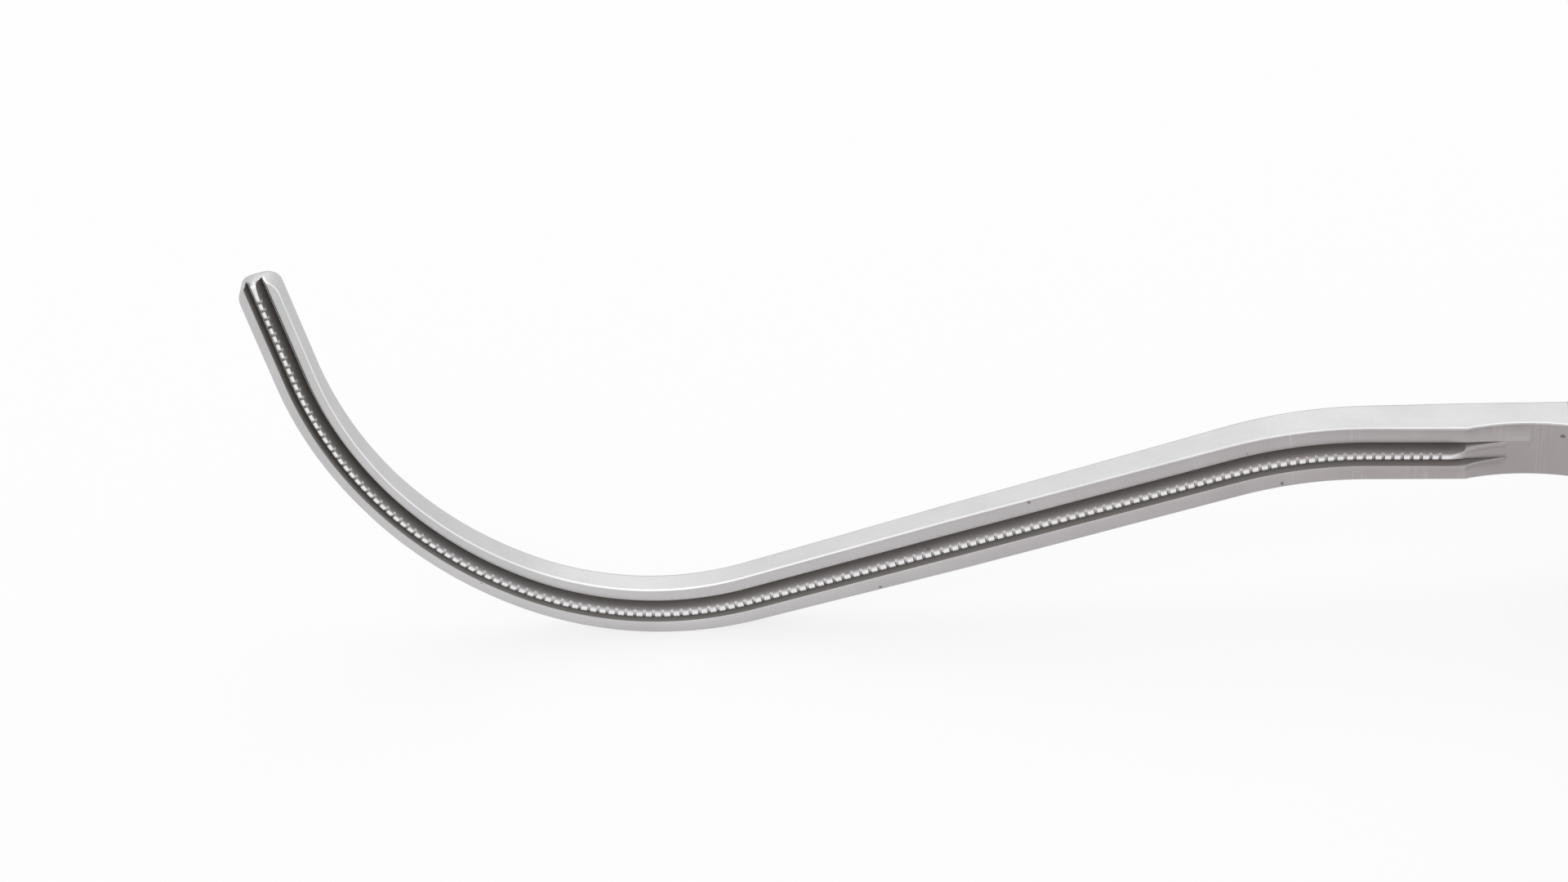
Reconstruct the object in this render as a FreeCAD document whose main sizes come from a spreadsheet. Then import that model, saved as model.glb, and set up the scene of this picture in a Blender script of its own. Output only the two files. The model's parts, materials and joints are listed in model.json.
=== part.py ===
import FreeCAD, Part
import math
import os

import Sketcher
from FreeCAD import Placement, Rotation, Vector

# Thoracoscopic clamp with a sliding shaft: one fixed and one swinging jaw, both S-curved.
# X runs along the shaft with the jaw tips at -X and the finger rings at +X, Z is up.
# The origin is on the axis of the shaft, level with the fixed jaw's clamping face and its heel.
# Every piece is drawn as it lies with jaws and handles shut, then placed as it lies with both open.

doc = FreeCAD.newDocument("thoracoscopic_clamp")
sheet = doc.addObject("Spreadsheet::Sheet", "Sizes")

# Driving dimensions in millimetres and degrees

SIZES = [
    # Centre line of both jaws
    ("heel_straight", 7.4, "straight in front of the heel"),
    ("neck_bend_radius", 34.8, "radius of the downward bend behind the long straight"),
    ("neck_bend_turn", 17.2, "angle of the downward bend"),
    ("long_straight", 38.5, "straight between the downward bend and the belly"),
    ("belly_bend_radius", 25.2, "radius of the bend through the belly"),
    ("belly_bend_turn", 40.1, "angle of the bend through the belly"),
    ("upper_bend_radius", 30.3, "radius of the bend that turns the tip up"),
    ("upper_bend_turn", 48.9, "angle of the bend that turns the tip up"),
    ("tip_straight", 8.9, "straight that ends at the rounded tip"),
    # Section of both jaws
    ("root_half_width", 2.25, "half width of the clamping face at the root"),
    ("tip_half_width", 1.58, "half width of the clamping face at the tip"),
    ("taper_start", 40.0, "distance from the heel where the face starts to narrow"),
    ("taper_end", 88.0, "distance from the heel where the face stops narrowing"),
    ("heel_thickness", 4.2, "thickness of a jaw at its heel"),
    ("middle_thickness", 2.5, "thickness of a jaw at its middle"),
    ("middle_reach", 55.0, "how far the middle lies in front of the heel"),
    ("tip_thickness", 2.7, "thickness of a jaw at its tip"),
    ("back_rounding", 0.4, "radius along the back edges of a jaw"),
    ("face_rounding", 0.12, "small radius along the edges of the clamping face"),
    # Clamping pattern
    ("ridge_half_width", 0.31, "half width of the middle ridge, level with the clamping face"),
    ("ridge_height", 0.55, "how far the toothed ridge stands out of the clamping face"),
    ("ridge_top_half_width", 0.14, "half width of the ridge at its top"),
    ("groove_width", 0.68, "width of each groove beside the ridge"),
    ("groove_depth", 0.78, "depth of each groove"),
    ("tooth_pitch", 0.72, "distance from tooth to tooth"),
    ("tooth_gap", 0.30, "gap between two teeth"),
    ("tooth_depth", 0.25, "depth of the gap between two teeth"),
    ("teeth_setback", 1.36, "plain ridge between the heel and the first tooth"),
    ("tip_land", 1.3, "plain ridge between the last tooth and the tip"),
    ("rib_height", 0.55, "height of the moving jaw's two toothed ribs"),
    ("rib_root_half_width", 0.22, "half width of a rib where it leaves the face"),
    ("rib_top_half_width", 0.08, "half width of a rib at its top"),
    ("channel_half_width", 0.40, "half width of the moving jaw's channel for the ridge"),
    ("channel_floor_half_width", 0.20, "half width of that channel at its floor"),
    ("channel_depth", 0.65, "depth of that channel"),
    ("relief_length", 9.6, "length of the hollow relief behind the heel"),
    ("relief_depth", 0.87, "depth of the relief"),
    ("jaw_gap", 0.15, "gap between the two clamping faces when shut"),
    # Jaw joint
    ("jaw_opening", 85.0, "angle between the jaws when open"),
    ("jaw_pivot_x", 16.3, "jaw pivot behind the heel"),
    ("jaw_pivot_y", 2.0, "jaw pivot above the clamping plane"),
    ("drive_radius", 4.0, "distance from the jaw pivot to the drive pin"),
    ("drive_pin_radius", 0.8, "radius of the drive pin"),
    ("drive_pin_half_length", 2.72, "half length of the drive pin"),
    ("drive_side_gap", 0.15, "gap on each side of the drive pin in the bar's notch"),
    ("bar_nose", 1.2, "sliding bar in front of its drive notch"),
    ("tang_thickness", 2.4, "thickness of the moving jaw's tang"),
    ("tang_side_gap", 0.05, "gap on each side of the tang, the nose and the link"),
    ("tang_radius", 2.6, "radius of the tang around the pivot"),
    ("tang_lobe_radius", 1.7, "radius of the tang around the drive pin"),
    ("tang_neck_depth", 3.0, "depth of the tang's neck where it leaves the moving blade"),
    ("tang_front_angle", 180.0, "direction from the jaw pivot to the neck's front corner"),
    ("tang_rear_angle", -24.0, "direction from the jaw pivot to the neck's rear corner"),
    ("lobe_rear_angle", -41.0, "direction from the drive pin to the neck's rear corner"),
    ("lobe_front_angle", -114.0, "direction from the drive pin to the neck's front corner"),
    ("corner_inset", 0.04, "how far a plate's corner lies inside the round that it runs into"),
    ("root_clearance", 6.6, "distance from the pivot to the wide root of the moving jaw"),
    ("pivot_shank_radius", 1.4, "radius of the jaw pivot screw"),
    ("pivot_head_radius", 1.85, "radius of the jaw pivot screw's head"),
    ("pivot_head_height", 0.9, "height of the jaw pivot screw's head"),
    ("running_gap", 0.04, "radial gap of a turning fit"),
    ("block_front", 8.6, "start of the flare into the joint block"),
    ("block_full", 12.5, "place where the joint block has its full width"),
    ("block_rear", 24.0, "rear end of the joint block"),
    ("block_thickness", 6.0, "height of the joint block above the clamping plane"),
    ("block_barrel_radius", 6.4, "radius that rounds the joint block"),
    ("block_front_slope", 4.9, "length of the slope from the heel up to the joint block's full height"),
    ("block_rear_slope", 3.0, "length of the slope from the joint block down to the shaft"),
    ("block_floor", 1.2, "wall behind the slot of the joint block"),
    ("slot_end_gap", 0.4, "gap between the tang and each end of the joint block's slot"),
    ("driver_slot_share", 0.14, "half width of a driver slot as a share of the head's radius"),
    ("joint_overlap", 3.0, "how far a tongue starts inside the piece that it grows from"),
    # Shaft
    ("shaft_radius", 4.0, "radius of the shaft"),
    ("parting_gap", 0.1, "gap between the fixed and the sliding half of the shaft"),
    ("shaft_end", 126.0, "rear end of the fixed half of the shaft"),
    ("tongue_length", 10.0, "length of the tongue that joins the fixed jaw to the shaft"),
    ("tongue_thickness", 2.0, "thickness of that tongue"),
    ("tongue_width", 3.0, "width of that tongue"),
    ("dowel_radius", 0.6, "radius of the dowels through the tongue"),
    ("dowel_inset", 3.0, "distance of each dowel from the end of the tongue"),
    ("stud_front_x", 45.0, "place of the front guide stud"),
    ("stud_middle_x", 80.0, "place of the middle guide stud"),
    ("stud_rear_x", 112.0, "place of the rear guide stud"),
    ("stud_radius", 0.9, "radius of a guide stud"),
    ("stud_head_radius", 1.6, "radius of a guide stud's head"),
    ("stud_head_height", 1.0, "height of a guide stud's head"),
    ("stud_ledge", 2.5, "depth of the ledge under a stud's head below the parting plane"),
    ("stud_seat", 3.0, "depth of a stud's seat in the fixed half"),
    ("stud_gap", 0.08, "gap around a guide stud and under its head"),
    # Handle joint and link
    ("handle_pivot_x", 146.0, "handle pivot behind the heel"),
    ("handle_pivot_y", -12.0, "handle pivot below the clamping plane"),
    ("link_height", 10.0, "height of the link pin above the handle pivot"),
    ("link_pin_radius", 1.0, "radius of the link pin"),
    ("link_pin_gap", 0.05, "gap around the link pin in the handle's nose"),
    ("link_end", 3.0, "bar behind the link pin"),
    ("link_slot_reach", 4.2, "slot of the bar in front of the link pin"),
    ("link_half_width", 2.5, "half width of the bar between the cheeks"),
    ("nose_half_width", 3.0, "half width of the handle's nose"),
    ("nose_wall", 1.3, "wall of the nose beyond the link pin's slot"),
    ("hub_radius", 5.0, "radius of the moving handle's hub"),
    ("boss_radius", 5.5, "radius of the fixed handle's boss"),
    ("cheek_gap", 0.1, "gap between the hub and each cheek"),
    ("cheek_thickness", 1.8, "thickness of each cheek"),
    ("cheek_front", 132.0, "front edge of the cheeks"),
    ("cheek_front_depth", 4.6, "depth of the cheeks' front edge below the clamping plane"),
    ("cheek_corner_angle", 25.5, "angle below the level from the handle pivot to the cheeks' low corners"),
    ("screw_radius", 2.0, "radius of the handle pivot screw"),
    ("screw_head_radius", 3.2, "radius of the handle pivot screw's head"),
    ("screw_head_height", 1.0, "height of the handle pivot screw's head"),
    ("bush_radius", 3.0, "outer radius of the bush in the hub"),
    ("block_slot_top", 1.2, "top of the handle block's slot above the clamping plane"),
    ("block_slot_rear", 153.5, "rear end of the deep part of that slot"),
    ("rear_slot_depth", 1.2, "top of that slot's shallow rear part below the clamping plane"),
    ("block_heel_x", 158.0, "low rear corner of the handle block"),
    ("block_heel_depth", 1.0, "depth of that corner below the clamping plane"),
    ("block_nose_length", 2.0, "length of the sloped front edge of the handle block"),
    ("block_nose_height", 1.4, "height of that sloped edge"),
    ("handle_block_rear", 166.0, "rear end of the handle block"),
    ("handle_block_top", 5.6, "top of the handle block above the clamping plane"),
    ("handle_barrel_radius", 6.0, "radius that rounds the handle block"),
    ("shaft_tang_length", 12.0, "length of the shaft's tang in the handle block"),
    ("shaft_tang_bottom", 1.7, "underside of that tang above the clamping plane"),
    ("shaft_tang_thickness", 1.6, "thickness of that tang"),
    ("shaft_tang_width", 4.0, "width of that tang"),
    ("rivet_radius", 0.7, "radius of the rivets"),
    ("rivet_inset", 3.5, "distance of each rivet from the end of the tang"),
    # Shanks, rings and ratchet
    ("ring_x", 228.0, "ring centres behind the heel"),
    ("ring_y", 18.0, "ring centres beside the clamping plane when shut"),
    ("ring_hole_radius", 11.5, "radius of the finger holes"),
    ("ring_band", 4.5, "width of the ring band"),
    ("ring_height", 6.0, "height of a ring"),
    ("ring_rounding", 1.8, "rounding of the ring edges"),
    ("fixed_shank_x", 157.0, "start of the fixed shank"),
    ("fixed_shank_y", 2.6, "start of the fixed shank above the clamping plane"),
    ("shank_root_half_depth", 3.1, "half depth of a shank at its root"),
    ("shank_end_half_depth", 2.5, "half depth of a shank at its ring"),
    ("fixed_shank_half_height", 2.8, "half height of the fixed shank"),
    ("moving_shank_half_height", 2.4, "half height of the moving shank"),
    ("shank_sink", 2.2, "how far a shank runs into its ring band"),
    ("ratchet_radius", 55.25, "middle radius of the ratchet around the handle pivot"),
    ("ratchet_width", 5.5, "width of the ratchet tongues"),
    ("ratchet_thickness", 2.1, "thickness of each ratchet tongue"),
    ("ratchet_split", 0.15, "gap between each tongue and the middle plane"),
    ("fixed_ratchet_start", 9.0, "angle of the fixed tongue's free end"),
    ("fixed_ratchet_end", 26.5, "angle of the fixed tongue's root"),
    ("moving_ratchet_start", -4.5, "angle of the moving tongue's root"),
    ("moving_ratchet_end", 17.0, "angle of the moving tongue's free end"),
    ("ratchet_tooth_pitch", 1.4, "angle from one ratchet tooth to the next"),
    ("ratchet_tooth_count", 5, "number of notches in each ratchet tongue"),
    ("ratchet_tooth_depth", 0.7, "size of the notches between ratchet teeth"),
    ("ratchet_notch_length", 7.7, "length of those notches, a little more than the tongue's width"),
    ("ratchet_notch_turn", 45.0, "angle that sets a square notch on its edge"),
    ("ratchet_end_margin", 2.0, "angle between a tongue's free end and its first notch"),
    ("ratchet_rivet_inset", 2.3, "angle between a ratchet rivet and the tongue's root"),
]

for row, (name, number, meaning) in enumerate(SIZES, 1):
    sheet.set(f"A{row}", meaning)
    sheet.set(f"B{row}", str(number))
    sheet.setAlias(f"B{row}", name)
doc.recompute()

# Places that follow from the driving dimensions, as formulas

STROKE = "(2 * Sizes.drive_radius * sin(Sizes.jaw_opening / 2))"
HALF_GAP = "(Sizes.parting_gap / 2)"
DRIVE_X = f"(Sizes.jaw_pivot_x - {STROKE} / 2)"
DRIVE_Y = "(Sizes.jaw_pivot_y - Sizes.drive_radius * cos(Sizes.jaw_opening / 2))"
DRIVE_LOW = "(Sizes.jaw_pivot_y - Sizes.drive_radius)"
TANG_HALF = "(Sizes.tang_thickness / 2)"
SLOT_HALF = "(Sizes.tang_thickness / 2 + Sizes.tang_side_gap)"
BAR_FRONT = f"({DRIVE_X} - Sizes.drive_pin_radius - Sizes.drive_side_gap - Sizes.bar_nose)"
LINK_X = f"(Sizes.handle_pivot_x - {STROKE} / 2)"
LINK_Y = "(Sizes.handle_pivot_y + Sizes.link_height)"
HALF_SWING = f"atan({STROKE} / 2 / Sizes.link_height)"
LINK_FAR = f"(Sizes.link_height / cos({HALF_SWING}))"
CHEEK_INNER = "(Sizes.link_half_width + Sizes.cheek_gap)"
CHEEK_OUTER = f"({CHEEK_INNER} + Sizes.cheek_thickness)"
TONGUE_END = "(Sizes.block_rear + Sizes.tongue_length)"
TONGUE_MIDDLE = "(Sizes.shaft_radius / 2)"
SHAFT_TANG_END = "(Sizes.shaft_end + Sizes.shaft_tang_length)"
SHAFT_TANG_MIDDLE = "(Sizes.shaft_tang_bottom + Sizes.shaft_tang_thickness / 2)"
RING_RADIUS = "(Sizes.ring_hole_radius + Sizes.ring_band)"
FIXED_RIVET_ANGLE = "(Sizes.fixed_ratchet_end - Sizes.ratchet_rivet_inset)"
MOVING_RIVET_ANGLE = "(Sizes.moving_ratchet_start + Sizes.ratchet_rivet_inset)"
RIVET_SPANS = {
    "fixed": ("-Sizes.fixed_shank_half_height", "Sizes.fixed_shank_half_height"),
    "moving": ("-Sizes.moving_shank_half_height", "Sizes.moving_shank_half_height"),
}
DOWEL_PLACES = {
    "front": "Sizes.block_rear + Sizes.dowel_inset",
    "rear": f"{TONGUE_END} - Sizes.dowel_inset",
}
STUD_PLACES = {"front": "Sizes.stud_front_x", "middle": "Sizes.stud_middle_x", "rear": "Sizes.stud_rear_x"}
RIVET_PLACES = {
    "front": "Sizes.shaft_end + Sizes.rivet_inset",
    "rear": f"{SHAFT_TANG_END} - Sizes.rivet_inset",
}

JAW_OPEN = (
    "placement(vector(0; 0; 0); rotation(vector(0; 0; 1); Sizes.jaw_opening); "
    "vector(Sizes.jaw_pivot_x; Sizes.jaw_pivot_y; 0))"
)
HANDLE_OPEN = (
    f"placement(vector(0; 0; 0); rotation(vector(0; 0; 1); -2 * {HALF_SWING}); "
    "vector(Sizes.handle_pivot_x; Sizes.handle_pivot_y; 0))"
)


def size(name):
    """A driving dimension as a number, for shapes that are worked out by formula."""
    return float(sheet.get(name))


def bind(thing, **formulas):
    """Tie properties of a document object to formulas over the sheet."""
    for path, formula in formulas.items():
        thing.setExpression(path.replace("__", "."), formula)
    return thing


# Plain solids, given by formulas


def box(name, x_range, y_range, z_range):
    """Block between two x, two y and two z places."""
    block = doc.addObject("Part::Box", name)
    for letter, side, (low, high) in zip("xyz", ("Length", "Width", "Height"), (x_range, y_range, z_range)):
        block.setExpression(side, f"({high}) - ({low})")
        block.setExpression(f"Placement.Base.{letter}", low)
    return block


def middle_box(name, x_range, y_range, half_width):
    """Block that lies evenly on both sides of the middle plane."""
    return box(name, x_range, y_range, (f"-{half_width}", half_width))


def upright_rod(name, x, y, radius, low, high):
    """Cylinder along Z between two heights."""
    rod = doc.addObject("Part::Cylinder", name)
    bind(rod, Radius=radius, Height=f"({high}) - ({low})")
    return bind(rod, Placement__Base__x=x, Placement__Base__y=y, Placement__Base__z=low)


def cross_rod(name, x, radius, low, high):
    """Cylinder along Y in the middle plane, between two places."""
    rod = doc.addObject("Part::Cylinder", name)
    rod.Placement = Placement(Vector(), Rotation(Vector(1, 0, 0), -90))
    bind(rod, Radius=radius, Height=f"({high}) - ({low})")
    return bind(rod, Placement__Base__x=x, Placement__Base__y=low)


def long_rod(name, radius, front, rear):
    """Cylinder along X around the axis of the shaft."""
    rod = doc.addObject("Part::Cylinder", name)
    rod.Placement = Placement(Vector(), Rotation(Vector(0, 1, 0), 90))
    bind(rod, Radius=radius, Height=f"({rear}) - ({front})")
    return bind(rod, Placement__Base__x=front)


def fused(name, *pieces):
    """One solid from several that touch or overlap."""
    whole = doc.addObject("Part::MultiFuse", name)
    whole.Shapes = list(pieces)
    whole.Refine = True
    return whole


def shared(name, first, second):
    """The part of space that two solids have in common."""
    both = doc.addObject("Part::Common", name)
    both.Base = first
    both.Tool = second
    return both


def carved(name, solid, *tools):
    """A solid with every tool cut out of it, the last cut carrying the name."""
    for number, tool in enumerate(tools, 1):
        last = number == len(tools)
        step = doc.addObject("Part::Cut", name if last else f"{name}_cut_{number}")
        step.Base = solid
        step.Tool = tool
        solid = step
    return solid


def round_corner(x, y, radius, angle):
    """Formulas of a plate's corner, a little inside a round about x and y."""
    reach = f"({radius} - Sizes.corner_inset)"
    return f"{x} + {reach} * cos({angle})", f"{y} + {reach} * sin({angle})"


def profile_plate(name, plane, corners, low, high):
    """Plate with a closed outline of corners, on the XY plane growing in Z or the XZ plane growing in Y.

    The outline starts as an even polygon, and two formulas per corner then move each corner to its place.
    """
    body = doc.addObject("PartDesign::Body", name)
    origin_plane = [feature for feature in body.Origin.OriginFeatures if feature.Role == plane][0]
    sketch = body.newObject("Sketcher::SketchObject", f"{name}_outline")
    sketch.AttachmentSupport = [(origin_plane, "")]
    sketch.MapMode = "FlatFace"
    count = len(corners)
    turns = [2 * math.pi * number / count for number in range(count)]
    places = [(math.cos(turn), math.sin(turn)) for turn in turns]
    for number, place in enumerate(places):
        following = places[(number + 1) % count]
        sketch.addGeometry(Part.LineSegment(Vector(*place, 0), Vector(*following, 0)))
    for number in range(count):
        sketch.addConstraint(Sketcher.Constraint("Coincident", number, 2, (number + 1) % count, 1))
    for number, corner in enumerate(corners):
        for kind, formula, place in zip(("DistanceX", "DistanceY"), corner, places[number]):
            index = sketch.addConstraint(Sketcher.Constraint(kind, -1, 1, number, 1, place))
            sketch.setExpression(f"Constraints[{index}]", formula)
    pad = body.newObject("PartDesign::Pad", f"{name}_pad")
    pad.Profile = sketch
    pad.Reversed = plane == "XZ_Plane"
    pad.setExpression("Length", f"({high}) - ({low})")
    growth = "y" if plane == "XZ_Plane" else "z"
    body.setExpression(f"Placement.Base.{growth}", low)
    return body


# Centre line of the jaws


def path_segments():
    """Length and turn, in radians and positive upwards, of each line and arc from the heel to the tip."""
    bends = []
    for bend, sense in (("neck", -1), ("belly", 1), ("upper", 1)):
        turn = math.radians(size(f"{bend}_bend_turn"))
        bends.append((size(f"{bend}_bend_radius") * turn, sense * turn))
    neck, belly, upper = bends
    return [
        (size("heel_straight"), 0.0),
        neck,
        (size("long_straight"), 0.0),
        belly,
        upper,
        (size("tip_straight"), 0.0),
    ]


def path_length():
    """Length of the centre line from the heel to the end of the tip."""
    return sum(length for length, turn in path_segments())


def path_place(distance):
    """Place in X and Z and heading of the centre line at a distance from the heel, negative behind it."""
    x, z, heading = 0.0, 0.0, 0.0
    segments = path_segments()
    for number, (length, turn) in enumerate(segments):
        last = number == len(segments) - 1
        step = distance if last else min(distance, length)
        if turn:
            radius = length / turn
            new_heading = heading + step / radius
            x -= radius * (math.sin(new_heading) - math.sin(heading))
            z -= radius * (math.cos(new_heading) - math.cos(heading))
            heading = new_heading
        else:
            x -= step * math.cos(heading)
            z += step * math.sin(heading)
        distance -= step
        if distance <= 0 and not last:
            break
    return x, z, heading


def beside_path(distance, offset, y=0.0):
    """Point at an offset to the upper side of the centre line."""
    x, z, heading = path_place(distance)
    return Vector(x + offset * math.sin(heading), y, z + offset * math.cos(heading))


def path_wire(start, end):
    """Centre line as a wire of lines and arcs between two distances from the heel."""
    edges = []
    reached = 0.0
    segments = path_segments()
    for number, (length, turn) in enumerate(segments):
        first = start if number == 0 else max(start, reached)
        final = end if number == len(segments) - 1 else reached + length
        if turn:
            middle = (first + final) / 2
            points = [beside_path(place, 0.0) for place in (first, middle, final)]
            edges.append(Part.Arc(*points).toShape())
        else:
            edges.append(Part.makeLine(beside_path(first, 0.0), beside_path(final, 0.0)))
        reached += length
    return Part.Wire(edges)


def half_width(distance):
    """Half width of the clamping face at a distance from the heel."""
    share = (distance - size("taper_start")) / (size("taper_end") - size("taper_start"))
    share = min(max(share, 0.0), 1.0)
    return size("root_half_width") + share * (size("tip_half_width") - size("root_half_width"))


# Jaw blades, with the clamping face at y = 0 and the back towards +Y

SIDE_POINTS = 29
NOTCH_OVERLAP = 0.2
RUN_OUT = 1.0


def blade_blank(root_end):
    """Blade from its root behind the heel to the rounded tip, with a thinning back."""
    tip_radius = size("tip_half_width")
    cap = path_length() - tip_radius
    stations = [-root_end + number * (cap + root_end) / (SIDE_POINTS - 1) for number in range(SIDE_POINTS)]
    upper = Part.BSplineCurve()
    upper.interpolate([beside_path(place, half_width(place)) for place in stations])
    lower = Part.BSplineCurve()
    lower.interpolate([beside_path(place, -half_width(place)) for place in stations])
    tip_places = ((cap, tip_radius), (cap + tip_radius, 0.0), (cap, -tip_radius))
    tip = Part.Arc(*(beside_path(place, offset) for place, offset in tip_places))
    root = Part.makeLine(beside_path(-root_end, -size("root_half_width")), upper.StartPoint)
    outline = Part.Wire(Part.__sortEdges__([upper.toShape(), tip.toShape(), lower.toShape(), root]))
    blank = Part.Face(outline).extrude(Vector(0, 3 * size("heel_thickness"), 0))

    slope = (size("heel_thickness") - size("middle_thickness")) / size("middle_reach")
    behind = 2 * root_end
    tip_x = beside_path(path_length(), 0.0).x - tip_radius
    far_z = path_length()
    back = Part.BSplineCurve()
    back.interpolate([
        Vector(behind, size("heel_thickness") + slope * behind, -far_z),
        Vector(0, size("heel_thickness"), -far_z),
        Vector(-size("middle_reach"), size("middle_thickness"), -far_z),
        Vector(tip_x, size("tip_thickness"), -far_z),
    ])
    front_rear = Vector(behind, -size("heel_thickness"), -far_z)
    front_tip = Vector(tip_x, -size("heel_thickness"), -far_z)
    side = Part.Wire([
        back.toShape(),
        Part.makeLine(back.EndPoint, front_tip),
        Part.makeLine(front_tip, front_rear),
        Part.makeLine(front_rear, back.StartPoint),
    ])
    return blank.common(Part.Face(side).extrude(Vector(0, 0, 2 * far_z)))


def outline_edges(blade, root_end, low, high):
    """Edges of the blade's outline between two heights above the face, except across the root."""
    return [
        edge for edge in blade.Edges
        if edge.BoundBox.XMin < root_end - size("back_rounding")
        and edge.BoundBox.YMin > low and edge.BoundBox.YMax < high
    ]


def ease_edges(blade, root_end):
    """Rounded face and back edges all round, except across the root."""
    level = size("tip_thickness") / 2
    eased = blade.makeFillet(size("face_rounding"), outline_edges(blade, root_end, -level, level))
    return eased.makeFillet(size("back_rounding"), outline_edges(eased, root_end, level, math.inf))


def swept(profile, start, end):
    """Solid that carries a closed profile, drawn across the start of the centre line, along it."""
    points = [beside_path(start, offset, y) for offset, y in profile]
    wire = Part.makePolygon(points + points[:1])
    return path_wire(start, end).makePipeShell([wire], True, False)


def groove_profile(centre):
    """V section of one groove, drawn a little past the clamping face."""
    over = NOTCH_OVERLAP
    half = size("groove_width") / 2 * (1 + over / size("groove_depth"))
    return [(centre - half, -over), (centre + half, -over), (centre, size("groove_depth"))]


def raised_profile(centre, root, top, height):
    """Section of a ridge or rib, rooted a little below the clamping face."""
    return [
        (centre - root, NOTCH_OVERLAP),
        (centre - root, 0.0),
        (centre - top, -height),
        (centre + top, -height),
        (centre + root, 0.0),
        (centre + root, NOTCH_OVERLAP),
    ]


def channel_profile():
    """Section of the moving jaw's channel, drawn a little past the clamping face."""
    mouth = size("channel_half_width")
    floor = size("channel_floor_half_width")
    depth = size("channel_depth")
    near_half = [(floor, depth), (mouth, 0.0), (mouth, -NOTCH_OVERLAP)]
    far_half = [(-offset, y) for offset, y in reversed(near_half)]
    return far_half + near_half


def tooth_notches(across, shallow, deep):
    """All gaps between teeth, as small blocks across the ridge or ribs."""
    gap = size("tooth_gap")
    first = size("teeth_setback") + size("tooth_pitch")
    room = path_length() - size("tip_land") - first
    notches = []
    for number in range(int(room / size("tooth_pitch")) + 1):
        x, z, heading = path_place(first + number * size("tooth_pitch"))
        notch = Part.makeBox(gap, deep - shallow, 2 * across, Vector(-gap / 2, shallow, -across))
        notch.Placement = Placement(Vector(x, 0, z), Rotation(Vector(0, 1, 0), math.degrees(heading)))
        notches.append(notch)
    return Part.Compound(notches)


def groove_centre():
    """Distance from the centre line to the middle of each groove."""
    return size("ridge_half_width") + size("groove_width") / 2


def fixed_blade_shape():
    """Fixed blade: two grooves along a raised middle ridge with teeth."""
    root_end = size("block_full")
    behind = -size("relief_length") / 2
    blade = ease_edges(blade_blank(root_end), root_end)
    ridge = raised_profile(0.0, size("ridge_half_width"), size("ridge_top_half_width"), size("ridge_height"))
    blade = blade.fuse(swept(ridge, behind, path_length() - size("tip_land") / 2))
    for centre in (groove_centre(), -groove_centre()):
        blade = blade.cut(swept(groove_profile(centre), behind, path_length() + RUN_OUT))
    lowest = -2 * size("ridge_height")
    return blade.cut(tooth_notches(groove_centre(), lowest, size("tooth_depth") - size("ridge_height")))


def moving_blade_shape():
    """Moving blade: a channel for the ridge between two toothed ribs, mirrored below the fixed one."""
    root_end = size("jaw_pivot_x") - size("root_clearance")
    blade = ease_edges(blade_blank(root_end), root_end)
    rib_end = path_length() - size("tip_land")
    rib_sizes = [size(name) for name in ("rib_root_half_width", "rib_top_half_width", "rib_height")]
    for centre in (groove_centre(), -groove_centre()):
        rib = raised_profile(centre, *rib_sizes)
        blade = blade.fuse(swept(rib, size("teeth_setback"), rib_end))
    blade = blade.cut(swept(channel_profile(), -size("relief_length") / 2, path_length() + RUN_OUT))
    across = groove_centre() + 2 * size("rib_root_half_width")
    lowest = -2 * size("rib_height")
    blade = blade.cut(tooth_notches(across, lowest, size("tooth_depth") - size("rib_height")))
    mirrored = blade.mirror(Vector(), Vector(0, 1, 0))
    mirrored.translate(Vector(0, -size("jaw_gap"), 0))
    return mirrored


def feature(name, shape):
    """Document object that holds a shape worked out by formula."""
    thing = doc.addObject("Part::Feature", name)
    thing.Shape = shape
    return thing


def relief_tool(name, face_y, side):
    """Upright roller that hollows a face behind the heel; side is 1 for a face that looks to -Y."""
    roller = "((Sizes.relief_length / 2) ^ 2 / (2 * Sizes.relief_depth) + Sizes.relief_depth / 2)"
    middle = f"({face_y}) - ({side}) * ({roller} - Sizes.relief_depth)"
    half = "2 * Sizes.root_half_width"
    return upright_rod(name, "Sizes.relief_length / 2", middle, roller, f"-{half}", half)


# Fixed jaw with its joint block and tongue


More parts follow.
